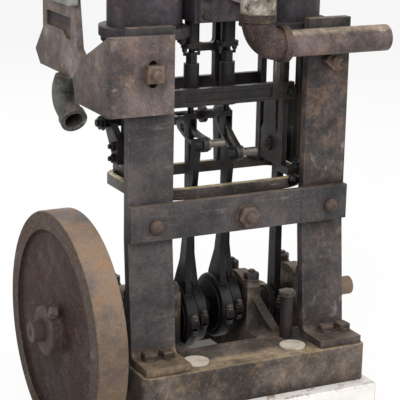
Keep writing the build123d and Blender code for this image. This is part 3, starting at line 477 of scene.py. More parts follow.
def makeIron(name, look):
    f = Finish(name)
    shift, scale = look["shift"], look["rustScale"]
    place = f.split(f.where())
    y, z = place[1:]
    cloud = f.bloom(scale=scale * 0.45, cover=0.5, soft=0.17, shift=shift)
    mottle = f.bloom(scale=scale * 3.4, cover=0.47, soft=0.12, shift=shift + 2)
    rust = f.bloom(scale=scale, cover=look["rustCover"], soft=0.12, shift=shift + 5)
    fleck = f.bloom(scale=scale * 9, cover=0.40, soft=0.05, shift=shift + 8)
    wear, grimeAndShade, grain = f.surface(edge=0.0016, reach=0.03, amount=look["grimeAndShade"])
    colour = f.blend(cloud["Mask"], look["dark"], look["mid"])
    colour = f.tint(colour, darker(look["dark"], 0.66), mottle["Mask"], share=0.32)
    spread = f.fit(mottle["Cloud"], 0.40, 0.58, 0.2, 0.9)
    if "rustFrom" in look:  # rustier towards the top
        spread = f.times(spread, f.fit(z, *look["rustFrom"], 0.25, 1.0))
    colour = f.tint(colour, look["rust"], rust["Mask"], share=spread)
    colour = f.tint(colour, darker(look["rust"], 0.9), fleck["Mask"], share=0.4)
    if "pits" in look:
        pits = f.effect("scuffs", Stretch=pitStretch, Shift=shift + 11)
        colour = f.tint(colour, darker(look["dark"], 0.55), pits["Mask"], share=look["pits"])
    if look["runs"] > 0:
        runs = f.effect("runStains", Amount=look["runs"])
        colour = f.tint(colour, darker(look["dark"], 0.6), runs["Mask"])
    if "scuff" in look:
        scuffs = f.effect("scuffs", Shift=shift, Stretch=look["stretch"])
        colour = f.tint(colour, look["worn"], scuffs["Mask"], share=look["scuff"])
    # dust on upward faces, partly painted light: the tops are painted lighter
    topCover = f.effect("topDustAndLight", Amount=look.get("topCover", 0.3))["Mask"]
    if "topCoverFrom" in look:  # strongest towards the front edge
        topCover = f.times(topCover, f.fit(y, *look["topCoverFrom"], 0.06, 1.0))
    colour = f.tint(colour, look.get("topCoverTone", plainTopCover), topCover)
    if "foot" in look:  # dirt lying on the foot of the bar
        foot = look["foot"]
        low = f.times(f.fit(z, *foot["below"]), f.fit(mottle["Cloud"], 0.38, 0.60, 0.35, 1.0))
        colour = f.tint(colour, foot["tone"], low, share=foot["share"])
    contrast = look.get("contrast", 0.2)
    fine, middle, broad = (
        f.fit(field["Cloud"], *cloudSpan, 1 - share * contrast, 1 + share * contrast)
        for field, share in ((fleck, 0.45), (mottle, 0.5), (cloud, 1.3))
    )
    colour = f.blend(1.0, colour, f.times(f.times(fine, middle), broad), "MULTIPLY")
    if "pocket" in look:
        colour = paintPocketShade(f, look["pocket"], place, fleck["Mask"], colour)
    colour = f.tint(colour, look["worn"], grain["Speckle"], share=0.16)
    colour = f.tint(colour, look["worn"], wear["Mask"], share=0.6)
    # corners and creases darkened almost to black: dirt and painted shade
    colour = f.tint(colour, darker(look["dark"], 0.25), grimeAndShade["Mask"])
    relief = (grain["Height"], 0.4, 0.0012)
    gloss = look.get("gloss", 0.2)
    return f.coat(colour, rust["Cloud"], look["rough"], relief, wear["Normal"], Specular_IOR_Level=gloss)


finishes = {name: makeIron(name, look) for name, look in ironLooks.items()}

flywheelLook = {
    "tread": (0.25, 0.178, 0.13), "treadRust": (0.32, 0.172, 0.078), "treadGrey": (0.128, 0.108, 0.103),
    "treadDark": (0.04, 0.028, 0.022), "face": (0.0105, 0.0048, 0.003), "faceLit": (0.056, 0.033, 0.0292),
    "faceRust": (0.094, 0.044, 0.024), "rim": (0.105, 0.078, 0.062), "chip": (0.38, 0.32, 0.26),
    "edge": (0.26, 0.19, 0.14), "radius": 0.1905, "rimFrom": 0.1605, "hub": (0.088, 0.068, 0.06),
    "hubTo": 0.041, "grimeAndShade": (0.01, 0.007, 0.006), "rough": (0.48, 0.78),
}


def makeFlywheelIron(look):
    f = Finish("flywheelIron")
    y, z = f.split(f.where())[1:]
    rise = f.sum("SUBTRACT", z, shaftZ)
    reach = f.reach(y, rise)
    tread = f.fit(reach, look["radius"] - 0.0022, look["radius"] - 0.0004)
    rimFace = f.fit(reach, look["rimFrom"] - 0.001, look["rimFrom"] + 0.002)
    hubFace = f.fit(reach, look["hubTo"] + 0.002, look["hubTo"] - 0.002)
    dry = f.fit(rise, -0.13, 0.14)  # higher up the face is painted lighter, as if lit; lower down the wheel is darker
    lowerDark = f.fit(rise, 0.16, 0.0)
    cloud = f.bloom(scale=9.0, cover=0.5, soft=0.22, shift=37.0)
    rust = f.bloom(scale=30.0, cover=0.40, soft=0.14, shift=41.0)
    patch = f.bloom(scale=11.0, cover=0.47, soft=0.10, shift=45.0)
    fleck = f.bloom(scale=150.0, cover=0.42, soft=0.06, shift=39.0)
    scuffs = f.effect("scuffs", Stretch=(120.0, 40.0, 40.0), Shift=4.0)
    wear, grimeAndShade, grain = f.surface(edge=0.002, reach=0.03, amount=0.6, grain=260.0)
    # painted light: with height the face blends to its lit copy and takes more rim tone
    lit = f.sum("ADD", f.times(cloud["Mask"], 0.5), f.times(dry, 0.5))
    face = f.blend(lit, look["face"], look["faceLit"])
    rim = f.times(rimFace, f.fit(fleck["Cloud"], 0.4, 0.6, 0.35, 0.75))
    face = f.tint(face, look["rim"], rim, share=f.fit(dry, 0.0, 1.0, 0.5, 1.0))
    face = f.tint(face, look["hub"], hubFace, share=0.7)
    face = f.tint(face, look["faceRust"], rust["Mask"], share=0.28)
    face = f.tint(face, look["faceRust"], fleck["Mask"], share=0.15)
    band = f.blend(patch["Mask"], look["tread"], look["treadGrey"])
    band = f.tint(band, look["treadRust"], rust["Mask"], share=0.7)
    # the tread is darker towards the bottom
    band = f.tint(band, look["treadDark"], lowerDark, share=0.56)
    band = f.tint(band, look["treadDark"], fleck["Mask"], share=0.3)
    colour = f.blend(tread, face, band)
    colour = f.tint(colour, look["edge"], scuffs["Mask"], share=0.25)
    colour = f.tint(colour, look["chip"], grain["Speckle"], share=0.14)
    colour = f.blend(1.0, colour, f.fit(fleck["Cloud"], *cloudSpan, 0.88, 1.12), "MULTIPLY")
    colour = f.tint(colour, look["edge"], wear["Mask"], share=0.5)
    # corners and creases darkened: dirt and painted shade
    colour = f.tint(colour, look["grimeAndShade"], grimeAndShade["Mask"])
    relief = (grain["Height"], 0.45, 0.0013)
    return f.coat(colour, rust["Cloud"], look["rough"], relief, wear["Normal"], Specular_IOR_Level=0.1)


finishes["flywheelIron"] = makeFlywheelIron(flywheelLook)

brightLook = {
    "bare": (0.5, 0.475, 0.44), "oil": (0.09, 0.078, 0.066), "stain": (0.22, 0.15, 0.095),
    "grimeAndShade": (0.03, 0.025, 0.02), "rough": (0.28, 0.5),
}


def makeBrightSteel(look):
    f = Finish("brightSteel")
    film = f.bloom(scale=30.0, cover=0.48, soft=0.2, shift=43.0)
    stain = f.bloom(scale=70.0, cover=0.3, soft=0.1, shift=47.0)
    wear, grimeAndShade, grain = f.surface(edge=0.001, reach=0.02, amount=0.8, grain=600.0)
    colour = f.tint(look["bare"], look["oil"], film["Mask"], share=0.6)
    colour = f.tint(colour, look["stain"], stain["Mask"], share=0.6)
    # corners and creases darkened: dirt and painted shade
    colour = f.tint(colour, look["grimeAndShade"], grimeAndShade["Mask"])
    relief = (grain["Height"], 0.12, 0.0006)
    return f.coat(colour, film["Cloud"], look["rough"], relief, wear["Normal"], Metallic=0.85)


finishes["brightSteel"] = makeBrightSteel(brightLook)

shaftLook = {
    "webs": (0.01, 0.0085, 0.0085), "websLit": (0.026, 0.021, 0.019), "stub": (0.19, 0.134, 0.097),
    "stubRust": (0.16, 0.085, 0.046), "hubEnd": (0.07, 0.052, 0.046), "reach": 0.176, "centre": 0.0068,
    "edge": (0.26, 0.22, 0.185), "hole": (0.01, 0.008, 0.008), "grimeAndShade": (0.012, 0.01, 0.009),
    "rough": (0.36, 0.66),
}


def makeShaftSteel(look):  # oily between the bearings, dry and tan on the two ends
    f = Finish("shaftSteel")
    x, y, z = f.split(f.where())
    along = f.sum("SUBTRACT", x, engineX)
    off = f.reach(y, f.sum("SUBTRACT", z, shaftZ))
    dry = f.fit(along, look["reach"] - 0.002, look["reach"] + 0.002)
    hub = f.fit(along, 0.002 - look["reach"], -0.002 - look["reach"])
    centre = f.fit(off, look["centre"], look["centre"] - 0.001)  # painted shade of a drilled centre hole in each end, as a dark disc
    cloud = f.bloom(scale=24.0, cover=0.5, soft=0.2, shift=49.0)
    rust = f.bloom(scale=48.0, cover=0.38, soft=0.12, shift=51.0)
    wear, grimeAndShade, grain = f.surface(edge=0.0014, reach=0.02, amount=0.7, grain=420.0)
    oily = f.blend(cloud["Mask"], look["webs"], look["websLit"])
    bare = f.tint(look["stub"], look["stubRust"], rust["Mask"], share=0.7)
    hubEnd = f.tint(look["hubEnd"], darker(look["hubEnd"], 0.5), rust["Mask"], share=0.6)
    colour = f.blend(hub, f.blend(dry, oily, bare), hubEnd)
    colour = f.tint(colour, look["edge"], wear["Mask"], share=0.5)
    # painted shade: the dark disc of the centre hole
    colour = f.tint(colour, look["hole"], centre)
    # corners and creases darkened: dirt and painted shade
    colour = f.tint(colour, look["grimeAndShade"], grimeAndShade["Mask"])
    relief = (grain["Height"], 0.3, 0.0009)
    return f.coat(colour, rust["Cloud"], look["rough"], relief, wear["Normal"], Specular_IOR_Level=0.1)


finishes["shaftSteel"] = makeShaftSteel(shaftLook)

linkLook = {
    "plate": (0.01, 0.0088, 0.0092), "plateLit": (0.044, 0.038, 0.034), "edge": (0.34, 0.31, 0.275),
    "pin": (0.155, 0.138, 0.118), "pinOil": (0.046, 0.038, 0.031), "plates": (-0.046, 0.018), "half": 0.0047,
    "pitch": 3000.0, "grimeAndShade": (0.01, 0.008, 0.007), "rough": (0.26, 0.5),
}


def makeLinkSteel(look):  # oily slotted plates with bright ridged pins
    f = Finish("linkSteel")
    along = f.sum("SUBTRACT", f.split(f.where())[0], engineX)
    left, right = (f.sum("ABSOLUTE", f.sum("SUBTRACT", along, x)) for x in look["plates"])
    pin = f.fit(f.sum("MINIMUM", left, right), look["half"] - 0.0002, look["half"] + 0.0002)
    cloud = f.bloom(scale=26.0, cover=0.5, soft=0.18, shift=55.0)
    film = f.bloom(scale=70.0, cover=0.40, soft=0.14, shift=57.0)
    wear, grimeAndShade, grain = f.surface(edge=0.0016, breakup=60.0, reach=0.012, amount=0.6, grain=420.0)
    plate = f.blend(cloud["Mask"], look["plate"], look["plateLit"])
    plate = f.tint(plate, look["edge"], wear["Mask"], share=0.85)
    bright = f.tint(look["pin"], look["pinOil"], film["Mask"], share=0.8)
    # corners and creases darkened: dirt and painted shade
    colour = f.tint(f.blend(pin, plate, bright), look["grimeAndShade"], grimeAndShade["Mask"])
    ridges = f.times(f.sum("SINE", f.times(along, look["pitch"])), f.times(pin, 0.5))
    relief = (f.sum("ADD", grain["Height"], ridges), 0.4, 0.0009)
    return f.coat(colour, film["Cloud"], look["rough"], relief, wear["Normal"],
                  Metallic=f.times(pin, 0.6), Specular_IOR_Level=0.35)


finishes["linkSteel"] = makeLinkSteel(linkLook)

brassLook = {
    "bare": (0.2, 0.14, 0.065), "dull": (0.055, 0.04, 0.024), "oil": (0.014, 0.011, 0.009),
    "rough": (0.35, 0.6),
}


def makeBearingBrass(look):
    f = Finish("bearingBrass")
    film = f.bloom(scale=40.0, cover=0.55, soft=0.2, shift=53.0)
    wear, grimeAndShade, grain = f.surface(edge=0.001, reach=0.025, amount=0.9, grain=500.0)
    colour = f.blend(film["Mask"], look["bare"], look["dull"])
    # corners darkened with the oil colour: oil and painted shade
    colour = f.tint(colour, look["oil"], grimeAndShade["Mask"])
    relief = (grain["Height"], 0.2, 0.0006)
    return f.coat(colour, film["Cloud"], look["rough"], relief, wear["Normal"], Metallic=0.7)


finishes["bearingBrass"] = makeBearingBrass(brassLook)

timberLook = {
    "paint": (0.8, 0.785, 0.75), "wood": (0.42, 0.29, 0.17), "grainDark": (0.22, 0.14, 0.08),
    "dirtAndShade": (0.2, 0.17, 0.14), "crumbs": (0.26, 0.165, 0.1), "fibre": (6.0, 120.0, 120.0), "rough": (0.55, 0.8),
}


def makePaintedTimber(look):
    f = Finish("paintedTimber")
    fibre = f.noise(f.vector("MULTIPLY", f.where(), look["fibre"]), 1.0, rough=0.65)
    chips = f.bloom(scale=14.0, cover=0.33, soft=0.03, shift=59.0)
    smear = f.bloom(scale=9.0, cover=0.42, soft=0.2, shift=61.0)
    fallen = f.bloom(scale=52.0, cover=0.46, soft=0.05, shift=63.0)
    wear = f.effect("edgeWear", Radius=0.003, Breakup=40.0)
    grimeAndShade = f.effect("cornerGrimeAndShade", Reach=0.03, Amount=0.5)
    topCover = f.effect("topDustAndLight", Amount=0.9)
    wood = f.blend(f.fit(fibre, 0.35, 0.65), look["grainDark"], look["wood"])
    flaked = f.times(chips["Mask"], f.fit(fibre, 0.42, 0.5))
    bare = f.sum("MAXIMUM", flaked, f.times(wear["Mask"], 0.8))
    paint = f.tint(look["paint"], look["dirtAndShade"], smear["Mask"], share=0.25)
    colour = f.blend(bare, paint, wood)
    # corners darkened with the dirt colour: dirt and painted shade
    colour = f.tint(colour, look["dirtAndShade"], grimeAndShade["Mask"], share=0.6)
    colour = f.tint(colour, look["crumbs"], topCover["Mask"], share=fallen["Mask"])  # rust fallen on the top
    relief = (f.sum("SUBTRACT", fibre, f.times(bare, 0.6)), 0.4, 0.0012)
    return f.coat(colour, fibre, look["rough"], relief, wear["Normal"])


finishes["paintedTimber"] = makePaintedTimber(timberLook)

puttyLook = {
    "pale": (0.54, 0.475, 0.39), "stain": (0.33, 0.265, 0.2), "dark": (0.09, 0.07, 0.055), "rough": (0.6, 0.85),
}


def makePlugPutty(look):
    f = Finish("plugPutty")
    smear = f.bloom(scale=50.0, cover=0.42, soft=0.14, shift=67.0)
    speck = f.bloom(scale=150.0, cover=0.33, soft=0.05, shift=71.0)
    wear = f.effect("edgeWear", Radius=0.0012)
    grain = f.effect("castGrain", Grain=420.0)
    colour = f.blend(smear["Mask"], look["pale"], look["stain"])
    colour = f.tint(colour, look["dark"], speck["Mask"], share=0.6)
    relief = (grain["Height"], 0.35, 0.0008)
    return f.coat(colour, smear["Cloud"], look["rough"], relief, wear["Normal"])


finishes["plugPutty"] = makePlugPutty(puttyLook)

laggingLook = {
    "pale": (0.64, 0.595, 0.52), "stain": (0.165, 0.134, 0.108), "soot": (0.024, 0.019, 0.016),
    "rough": (0.75, 0.95),
}


def makeLaggingPlaster(look):
    f = Finish("laggingPlaster")
    smear = f.bloom(scale=30.0, cover=0.52, soft=0.12, shift=73.0)
    crack = f.bloom(scale=60.0, cover=0.42, soft=0.06, shift=79.0)
    wear = f.effect("edgeWear", Radius=0.002)
    grain = f.effect("castGrain", Grain=240.0, Pits=90.0)
    colour = f.blend(smear["Mask"], look["pale"], look["stain"])
    colour = f.tint(colour, look["soot"], crack["Mask"], share=0.85)
    relief = (f.sum("SUBTRACT", grain["Height"], f.times(crack["Mask"], 0.5)), 0.8, 0.003)
    return f.coat(colour, smear["Cloud"], look["rough"], relief, wear["Normal"])


finishes["laggingPlaster"] = makeLaggingPlaster(laggingLook)
print("finishes made:", len(finishes))

nodeFinish = {
    "paintedTimber": ["front_bearer", "rear_bearer"],
    "bedIron": ["bedplate"],
    "plugPutty": ["base_plugs"],
    "barSteel": ["left_column", "crossbar", "cylinder_feet"],
    "rustedBar": ["right_column"],
    "bracketSteel": ["bracket_plate"],
    "armSteel": ["arm_plate"],
    "cylinderIron": [
        "left_cylinder", "right_cylinder", "left_cylinder_cover", "right_cylinder_cover",
        "steam_chest", "chest_cover",
    ],
    "pipeIron": ["exhaust_pipe"],
    "elbowIron": ["exhaust_elbow"],
    "laggingPlaster": ["exhaust_riser"],
    "ringIron": ["guide_ring"],
    "guideIron": [
        "front_guide_beam", "rear_guide_beam", "left_guides", "right_guides", "hanger",
        "left_crosshead", "right_crosshead", "reverse_shaft", "reverse_brackets",
        "valve_glands", "piston_glands", "oil_post",
    ],
    "capIron": ["bearing_caps"],
    "bearingBrass": ["bearing_brasses"],
    "linkSteel": ["expansion_links"],
    "brightSteel": ["piston_rods"],
    "paleIron": ["clamp_block"],
    "drainIron": ["drain_elbow"],
    "flywheelIron": ["flywheel"],
    "shaftSteel": ["crankshaft"],
}
painted = {name: finish for finish, names in nodeFinish.items() for name in names}
for name, piece in nodes.items():
    piece.data.materials.clear()
    piece.data.materials.append(finishes[painted.get(name, "oilySteel")])
print("CAD nodes finished:", len(nodes))


# nuts, studs and bolt heads, one tree for each kind

fields = (("aim", "FLOAT_VECTOR", "vector"), ("bulk", "FLOAT_VECTOR", "vector"), ("spin", "FLOAT", "value"))


def treeOf(name, inputs):
    tree = bpy.data.node_groups.new(name, "GeometryNodeTree")
    tree.interface.new_socket("Places", in_out="INPUT", socket_type="NodeSocketGeometry")
    for label, kind, value in inputs:
        socket = tree.interface.new_socket(label, in_out="INPUT", socket_type="NodeSocket" + kind)
        if value is not None:
            socket.default_value = value
    tree.interface.new_socket("Metalwork", in_out="OUTPUT", socket_type="NodeSocketGeometry")
    given = tree.nodes.new("NodeGroupInput").outputs
    out = tree.nodes.new("NodeGroupOutput").inputs
    return tree, Sheet(tree), given, out


def drum(s, sides, rows, radius, depth, tip, taper):  # a closed prism with a chamfered top, on its base
    size = {"Vertices": sides, "Side Segments": rows, "Radius": radius, "Depth": depth}
    prism = s.node("GeometryNodeMeshCylinder", fill_type="NGON", **size).outputs
    raised = s.node("CombineXYZ", Z=s.times(depth, 0.5)).outputs[0]
    lifted = s.node("GeometryNodeTransform", Geometry=prism["Mesh"], Translation=raised).outputs[0]
    grow = s.node("GeometryNodeExtrudeMesh", mode="FACES", Mesh=lifted, Selection=prism["Top"], Offset_Scale=tip)
    grown, top = grow.outputs["Mesh"], grow.outputs["Top"]
    return s.node("GeometryNodeScaleElements", domain="FACE", Geometry=grown, Selection=top, Scale=taper).outputs[0]


def setOut(s, given, out, shape):  # one copy at each place, turned to its aim and scaled to its bulk
    aim, bulk, spin = (
        s.node("GeometryNodeInputNamedAttribute", data_type=kind, Name=label).outputs[0]
        for label, kind, key in fields
    )
    lean = s.node("FunctionNodeAlignRotationToVector", axis="Z", Vector=aim).outputs[0]
    twist = s.node("FunctionNodeAxisAngleToRotation", Axis=(0, 0, 1), Angle=spin).outputs[0]
    turn = s.node("FunctionNodeRotateRotation", rotation_space="LOCAL", Rotation=lean, Rotate_By=twist).outputs[0]
    copies = s.node(
        "GeometryNodeInstanceOnPoints", Points=given["Places"], Instance=shape, Rotation=turn, Scale=bulk,
    )
    real = s.node("GeometryNodeRealizeInstances", Geometry=copies.outputs[0])
    coated = s.node("GeometryNodeSetMaterial", Geometry=real.outputs[0], Material=given["Finish"])
    s.wire(coated.outputs[0], out[0])


def makeNutTree():
    tree, s, given, out = treeOf("nutOnStud", [
        ("Sides", "Int", 6), ("Corner", "Float", 0.577), ("Washer", "Float", 0.7), ("Stud", "Float", 0.27),
        ("Stand", "Float", 1.3), ("Finish", "Material", None),
    ])
    nut = drum(s, given["Sides"], rows=1, radius=given["Corner"], depth=0.84, tip=0.16, taper=0.84)
    stud = drum(s, 16, rows=12, radius=given["Stud"], depth=given["Stand"], tip=0.08, taper=0.72)
    washer = drum(s, 28, rows=1, radius=given["Washer"], depth=0.1, tip=0.05, taper=0.96)
    where = s.node("GeometryNodeInputPosition").outputs[0]
    ridge = s.times(s.sum("SINE", s.times(s.split(where)[2], 60.0)), 0.06)  # thread up the stud
    swell = s.node("VectorMath", operation="SCALE", Scale=ridge)
    s.wire(s.vector("MULTIPLY", where, (1, 1, 0)), swell.inputs[0])
    threaded = s.node("GeometryNodeSetPosition", Geometry=stud, Offset=swell.outputs[0]).outputs[0]
    whole = s.node("GeometryNodeJoinGeometry")
    for part in (nut, threaded, washer):
        s.wire(part, whole.inputs[0])
    setOut(s, given, out, whole.outputs[0])
    return tree


def makeDomeTree():
    tree, s, given, out = treeOf("domedHead", [("Rings", "Int", 14), ("Finish", "Material", None)])
    ball = s.node("GeometryNodeMeshUVSphere", Segments=28, Rings=given["Rings"], Radius=0.5).outputs["Mesh"]
    where = s.node("GeometryNodeInputPosition").outputs[0]
    upper = s.vector("MULTIPLY", s.vector("MAXIMUM", where, (-1, -1, 0)), (1, 1, 2))
    dome = s.node("GeometryNodeSetPosition", Geometry=ball, Position=upper).outputs[0]
    setOut(s, given, out, s.node("GeometryNodeSetShadeSmooth", Geometry=dome).outputs[0])
    return tree


trees = {"nut": makeNutTree(), "dome": makeDomeTree()}


def fasten(piece):  # places: x, y, z in millimetres, aim, width across and rise, and a turn about the bolt
    mesh = bpy.data.meshes.new(piece["name"])
    mesh.from_pydata([spot(*place["at"]) for place in piece["places"]], [], [])
    for label, kind, key in fields:
        attribute = mesh.attributes.new(label, kind, "POINT")
        for index, place in enumerate(piece["places"]):
            across, rise = place.get("size", piece["size"])
            values = {
                "aim": place.get("aim", piece["aim"]),
                "bulk": (across / 1000, across / 1000, rise / 1000),
                "spin": math.radians(place.get("spin", 0)),
            }
            setattr(attribute.data[index], key, values[label])
    obj = bpy.data.objects.new(piece["name"], mesh)
    scene.collection.objects.link(obj)
    tree = trees[piece["kind"]]
    modifier = obj.modifiers.new("fasteners", "NODES")
    modifier.node_group = tree
    values = dict(piece.get("shape", {}))
    values["Finish"] = finishes[piece["finish"]]
    if "Sides" in values:
        values["Corner"] = 0.5 / math.cos(math.pi / values["Sides"])
    for item in tree.interface.items_tree:
        if item.item_type == "SOCKET" and item.in_out == "INPUT" and item.name in values:
            modifier[item.identifier] = values[item.name]
    bpy.context.view_layer.update()
    graph = bpy.context.evaluated_depsgraph_get()
    made = bpy.data.meshes.new_from_object(obj.evaluated_get(graph))
    obj.modifiers.clear()
    obj.data = made
    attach(obj, piece["body"])
    print(piece["name"], len(piece["places"]), "places,", len(made.polygons), "faces")


def ringOf(x, z, radius, count, start):
    made = []
    for index in range(count):
        turn = math.radians(start + 360 * index / count)
        place = (x + radius * math.cos(turn), radius * math.sin(turn), z)
        made.append({"at": place, "spin": math.degrees(turn)})
    return made


def clearOfBracket(place):  # neither against the steam chest nor behind a bracket plate
    x, y = place["at"][:2]
    return abs(x) > 68 and not (abs(x) > 138 and y < -26)


front, up, down, toLeft, toRight = (0, -1, 0), (0, 0, 1), (0, 0, -1), (-1, 0, 0), (1, 0, 0)
sides = (-1, 1)
cylinderX, bearingXs, valveXs = 124, (-160, -88, 60, 160), (-46, 18)
cylinderXs = (-cylinderX, cylinderX)
axisZ, crankThrow, crossheadZ = 207, 28, 507
crossheadHalf, bigEndHalf, bigEndBoltY = 19, 23, 20.5
eccentricY, eccentricZ, strapBoltY, lugHalf = 8.66, 5, 56, 9
lowerFlangeZ, coverZ, chestFront = 672, 838, -70
chestPlaces = [(x, z) for x in (-53, 53) for z in (709, 738, 767, 796)] + [(-28, 796)]
exhaustX, exhaustZ, exhaustCircle = 9, 764, 33

fasteners = [
    {
        "name": "frontNuts", "kind": "nut", "body": "frame", "finish": "rustedNut", "slot": "rusted_bar",
        "aim": front, "size": (27, 13), "shape": {"Sides": 4, "Washer": 0.48, "Stud": 0.29, "Stand": 1.35},
        "places": [
            {"at": (-158, -107, 631), "spin": 45},
            {"at": (159, -97, 632.6), "size": (24, 12)},
        ],
    },
    {
        "name": "crossbarNut", "kind": "nut", "body": "frame", "finish": "brownNut", "slot": "rusted_bar",
        "aim": front, "size": (32, 15), "shape": {"Sides": 6, "Washer": 0.62, "Stud": 0.26, "Stand": 1.3},
        "places": [{"at": (7, -109, 393), "spin": 8}],
    },
    {
        "name": "crossbarHeads", "kind": "dome", "body": "frame", "finish": "brownNut", "slot": "rusted_bar",
        "aim": front, "size": (25, 10),
        "places": [{"at": (-150, -109, 391)}, {"at": (163, -109, 392.6)}],
    },
    {
        "name": "footBolts", "kind": "nut", "body": "frame", "finish": "brownNut", "slot": "rusted_bar",
        "aim": up, "size": (19, 11), "shape": {"Sides": 4, "Washer": 0.6, "Stud": 0.2, "Stand": 0.5},
        "places": [
            {"at": (-171, -130, 184), "spin": 40},
            {"at": (-140, -130, 184), "spin": 52},
            {"at": (150, -130, 184), "spin": 38},
            {"at": (182, -131, 184), "spin": 49},
        ],
    },
    {
        "name": "capNuts", "kind": "nut", "body": "frame", "finish": "darkNut", "slot": "oily_steel",
        "aim": up, "size": (22, 15), "shape": {"Sides": 6, "Washer": 0.58, "Stud": 0.26, "Stand": 1.2},
        "places": [{"at": (x, y, 255), "spin": 17 * i} for i, x in enumerate(bearingXs) for y in (-36, 36)],
    },
    {
        "name": "flangeNuts", "kind": "nut", "body": "frame", "finish": "darkNut", "slot": "cast_iron",
        "aim": down, "size": (13, 8), "shape": {"Sides": 6, "Washer": 0.6, "Stud": 0.28, "Stand": 1.3},
        "places": [
            place for x in cylinderXs for place in ringOf(x, lowerFlangeZ, radius=62, count=12, start=15)
            if clearOfBracket(place)
        ],
    },
    {
        "name": "coverNuts", "kind": "nut", "body": "frame", "finish": "darkNut", "slot": "cast_iron",
        "aim": up, "size": (14, 9), "shape": {"Sides": 6, "Washer": 0.64, "Stud": 0.28, "Stand": 1.4},
        "places": [
            place for x in cylinderXs for place in ringOf(x, coverZ, radius=58.5, count=10, start=18)
        ],
    },
    {
        "name": "chestNuts", "kind": "nut", "body": "frame", "finish": "darkNut", "slot": "cast_iron",
        "aim": front, "size": (12, 8), "shape": {"Sides": 6, "Washer": 0.64, "Stud": 0.28, "Stand": 1.5},
        "places": [{"at": (x, chestFront, z)} for x, z in chestPlaces],
    },
    {
        "name": "exhaustBolts", "kind": "nut", "body": "frame", "finish": "darkNut", "slot": "cast_iron",
        "aim": front, "size": (8.5, 6), "shape": {"Sides": 6, "Washer": 0.55, "Stud": 0.28, "Stand": 1.4},
        "places": [
            {"at": (exhaustX + exhaustCircle * math.cos(turn), -80, exhaustZ + exhaustCircle * math.sin(turn))}
            for turn in map(math.radians, (45, 135, 225, 315))
        ],
    },
    {
        "name": "glandNuts", "kind": "nut", "body": "frame", "finish": "darkNut", "slot": "oily_steel",
        "aim": down, "size": (8, 6), "shape": {"Sides": 6, "Washer": 0.6, "Stud": 0.3, "Stand": 2.0},
        "places": [{"at": (x + side * 12.6, -10, 649)} for x in valveXs for side in sides],
    },
    {
        "name": "guideBolts", "kind": "nut", "body": "frame", "finish": "oilySteel", "slot": "oily_steel",
        "aim": up, "size": (13, 8), "shape": {"Sides": 6, "Washer": 0.66, "Stud": 0.3, "Stand": 1.5},
        "places": [
            *({"at": (x, y, 451), "spin": 11} for x in cylinderXs for y in (-59, 63)),
            *({"at": (x, -54, 577), "aim": front, "spin": 20} for x in (-111, 111)),
            *({"at": (-156, 38, z), "aim": toLeft, "spin": 5} for z in (468, 488)),
            {"at": (-163, 73.5, 520), "aim": toLeft, "size": (20, 8)},
        ],
    },
    {
        "name": "crossheadPins", "kind": "nut", "body": "frame", "finish": "guideIron", "slot": "oily_steel",
        "aim": toLeft, "size": (25, 6), "shape": {"Sides": 28, "Washer": 0.36, "Stud": 0.27, "Stand": 1.7},
        "places": [
            {
                "at": (side * cylinderX + face * crossheadHalf, 0, crossheadZ - side * crankThrow),
                "aim": (face, 0, 0),
            }
            for side in sides for face in sides
        ],
    },
    {
        "name": "linkCollars", "kind": "nut", "body": "frame", "finish": "linkSteel", "slot": "bright_steel",
        "aim": toRight, "size": (21, 5), "shape": {"Sides": 28, "Washer": 0.42, "Stud": 0.33, "Stand": 1.1},
        "places": [{"at": (-41.5, -59.8, 502.6)}, {"at": (22.5, -52.0, 482.3)}],
    },
    {
        "name": "ringBolt", "kind": "dome", "body": "frame", "finish": "oilySteel", "slot": "oily_steel",
        "aim": (0.375, -0.927, 0), "size": (23, 11), "places": [{"at": (109.3, -74.1, 433)}],
    },
    {
        "name": "postHead", "kind": "nut", "body": "frame", "finish": "darkNut", "slot": "oily_steel",
        "aim": up, "size": (26, 9), "shape": {"Sides": 6, "Washer": 0.45, "Stud": 0.24, "Stand": 1.05},
        "places": [{"at": (94, -98, 243.6), "spin": 12}],
    },
    {
        "name": "setScrew", "kind": "nut", "body": "crankshaft", "finish": "brownNut", "slot": "rusted_bar",
        "aim": (0, -0.58, 0.815), "size": (14, 13),
        "shape": {"Sides": 4, "Washer": 0.62, "Stud": 0.22, "Stand": 0.6},
        "places": [{"at": (-289, -23.0, 239.6), "spin": 30}],
    },
]

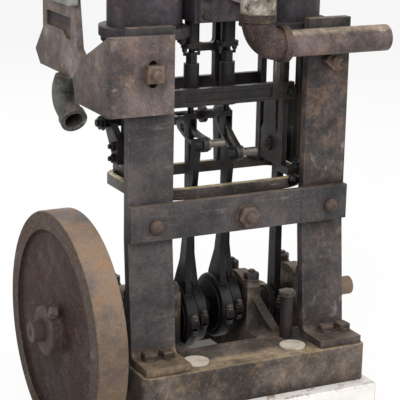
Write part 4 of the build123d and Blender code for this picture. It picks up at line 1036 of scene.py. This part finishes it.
straps = [
    {"name": "leftOuter", "body": "left_outer_eccentric", "side": -1, "end": -1, "x": -59},
    {"name": "leftInner", "body": "left_inner_eccentric", "side": -1, "end": 1, "x": -33},
    {"name": "rightInner", "body": "right_inner_eccentric", "side": 1, "end": -1, "x": 5},
    {"name": "rightOuter", "body": "right_outer_eccentric", "side": 1, "end": 1, "x": 31},
]
for strap in straps:
    middleY = strap["end"] * eccentricY
    middleZ = axisZ + strap["side"] * eccentricZ
    fasteners.append({
        "name": strap["name"] + "StrapBolts", "kind": "nut", "body": strap["body"], "finish": "darkNut",
        "slot": "oily_steel", "aim": up, "size": (11, 7),
        "shape": {"Sides": 6, "Washer": 0.6, "Stud": 0.26, "Stand": 1.15},
        "places": [
            {"at": (strap["x"], middleY + reach, middleZ + face * lugHalf), "aim": (0, 0, face)}
            for reach in (-strapBoltY, strapBoltY) for face in sides
        ],
    })
for name, side in (("left", -1), ("right", 1)):
    fasteners.append({
        "name": name + "BigEndBolts", "kind": "nut", "body": name + "_connecting_rod", "finish": "darkNut",
        "slot": "oily_steel", "aim": up, "size": (11, 8),
        "shape": {"Sides": 6, "Washer": 0.6, "Stud": 0.3, "Stand": 1.5},
        "places": [
            {"at": (side * cylinderX, y, axisZ - side * crankThrow + face * bigEndHalf), "aim": (0, 0, face)}
            for y in (-bigEndBoltY, bigEndBoltY) for face in sides
        ],
    })

for piece in fasteners:
    fasten(piece)
print("fastener groups:", len(fasteners))


# floor: seen almost white, while it still takes the engine's shadow

def layFloor(s):
    f = Finish("studioFloor")
    f.set(Base_Color=s["floor"], Roughness=0.7)
    glow = f.node("Emission", Color=(*s["backdrop"], 1))
    mixed = f.mixShaders(f.times(f.seen(), s["floorGlow"]), f.shader.outputs[0], glow.outputs[0])
    f.wire(mixed, f.tree.nodes["Material Output"].inputs[0])
    mesh = bpy.data.meshes.new("studioFloor")
    mesh.from_pydata([(-9, -9, 0), (9, -9, 0), (9, 9, 0), (-9, 9, 0)], [], [(0, 1, 2, 3)])
    mesh.materials.append(f.material)
    piece = bpy.data.objects.new("studioFloor", mesh)
    scene.collection.objects.link(piece)


layFloor(studio)
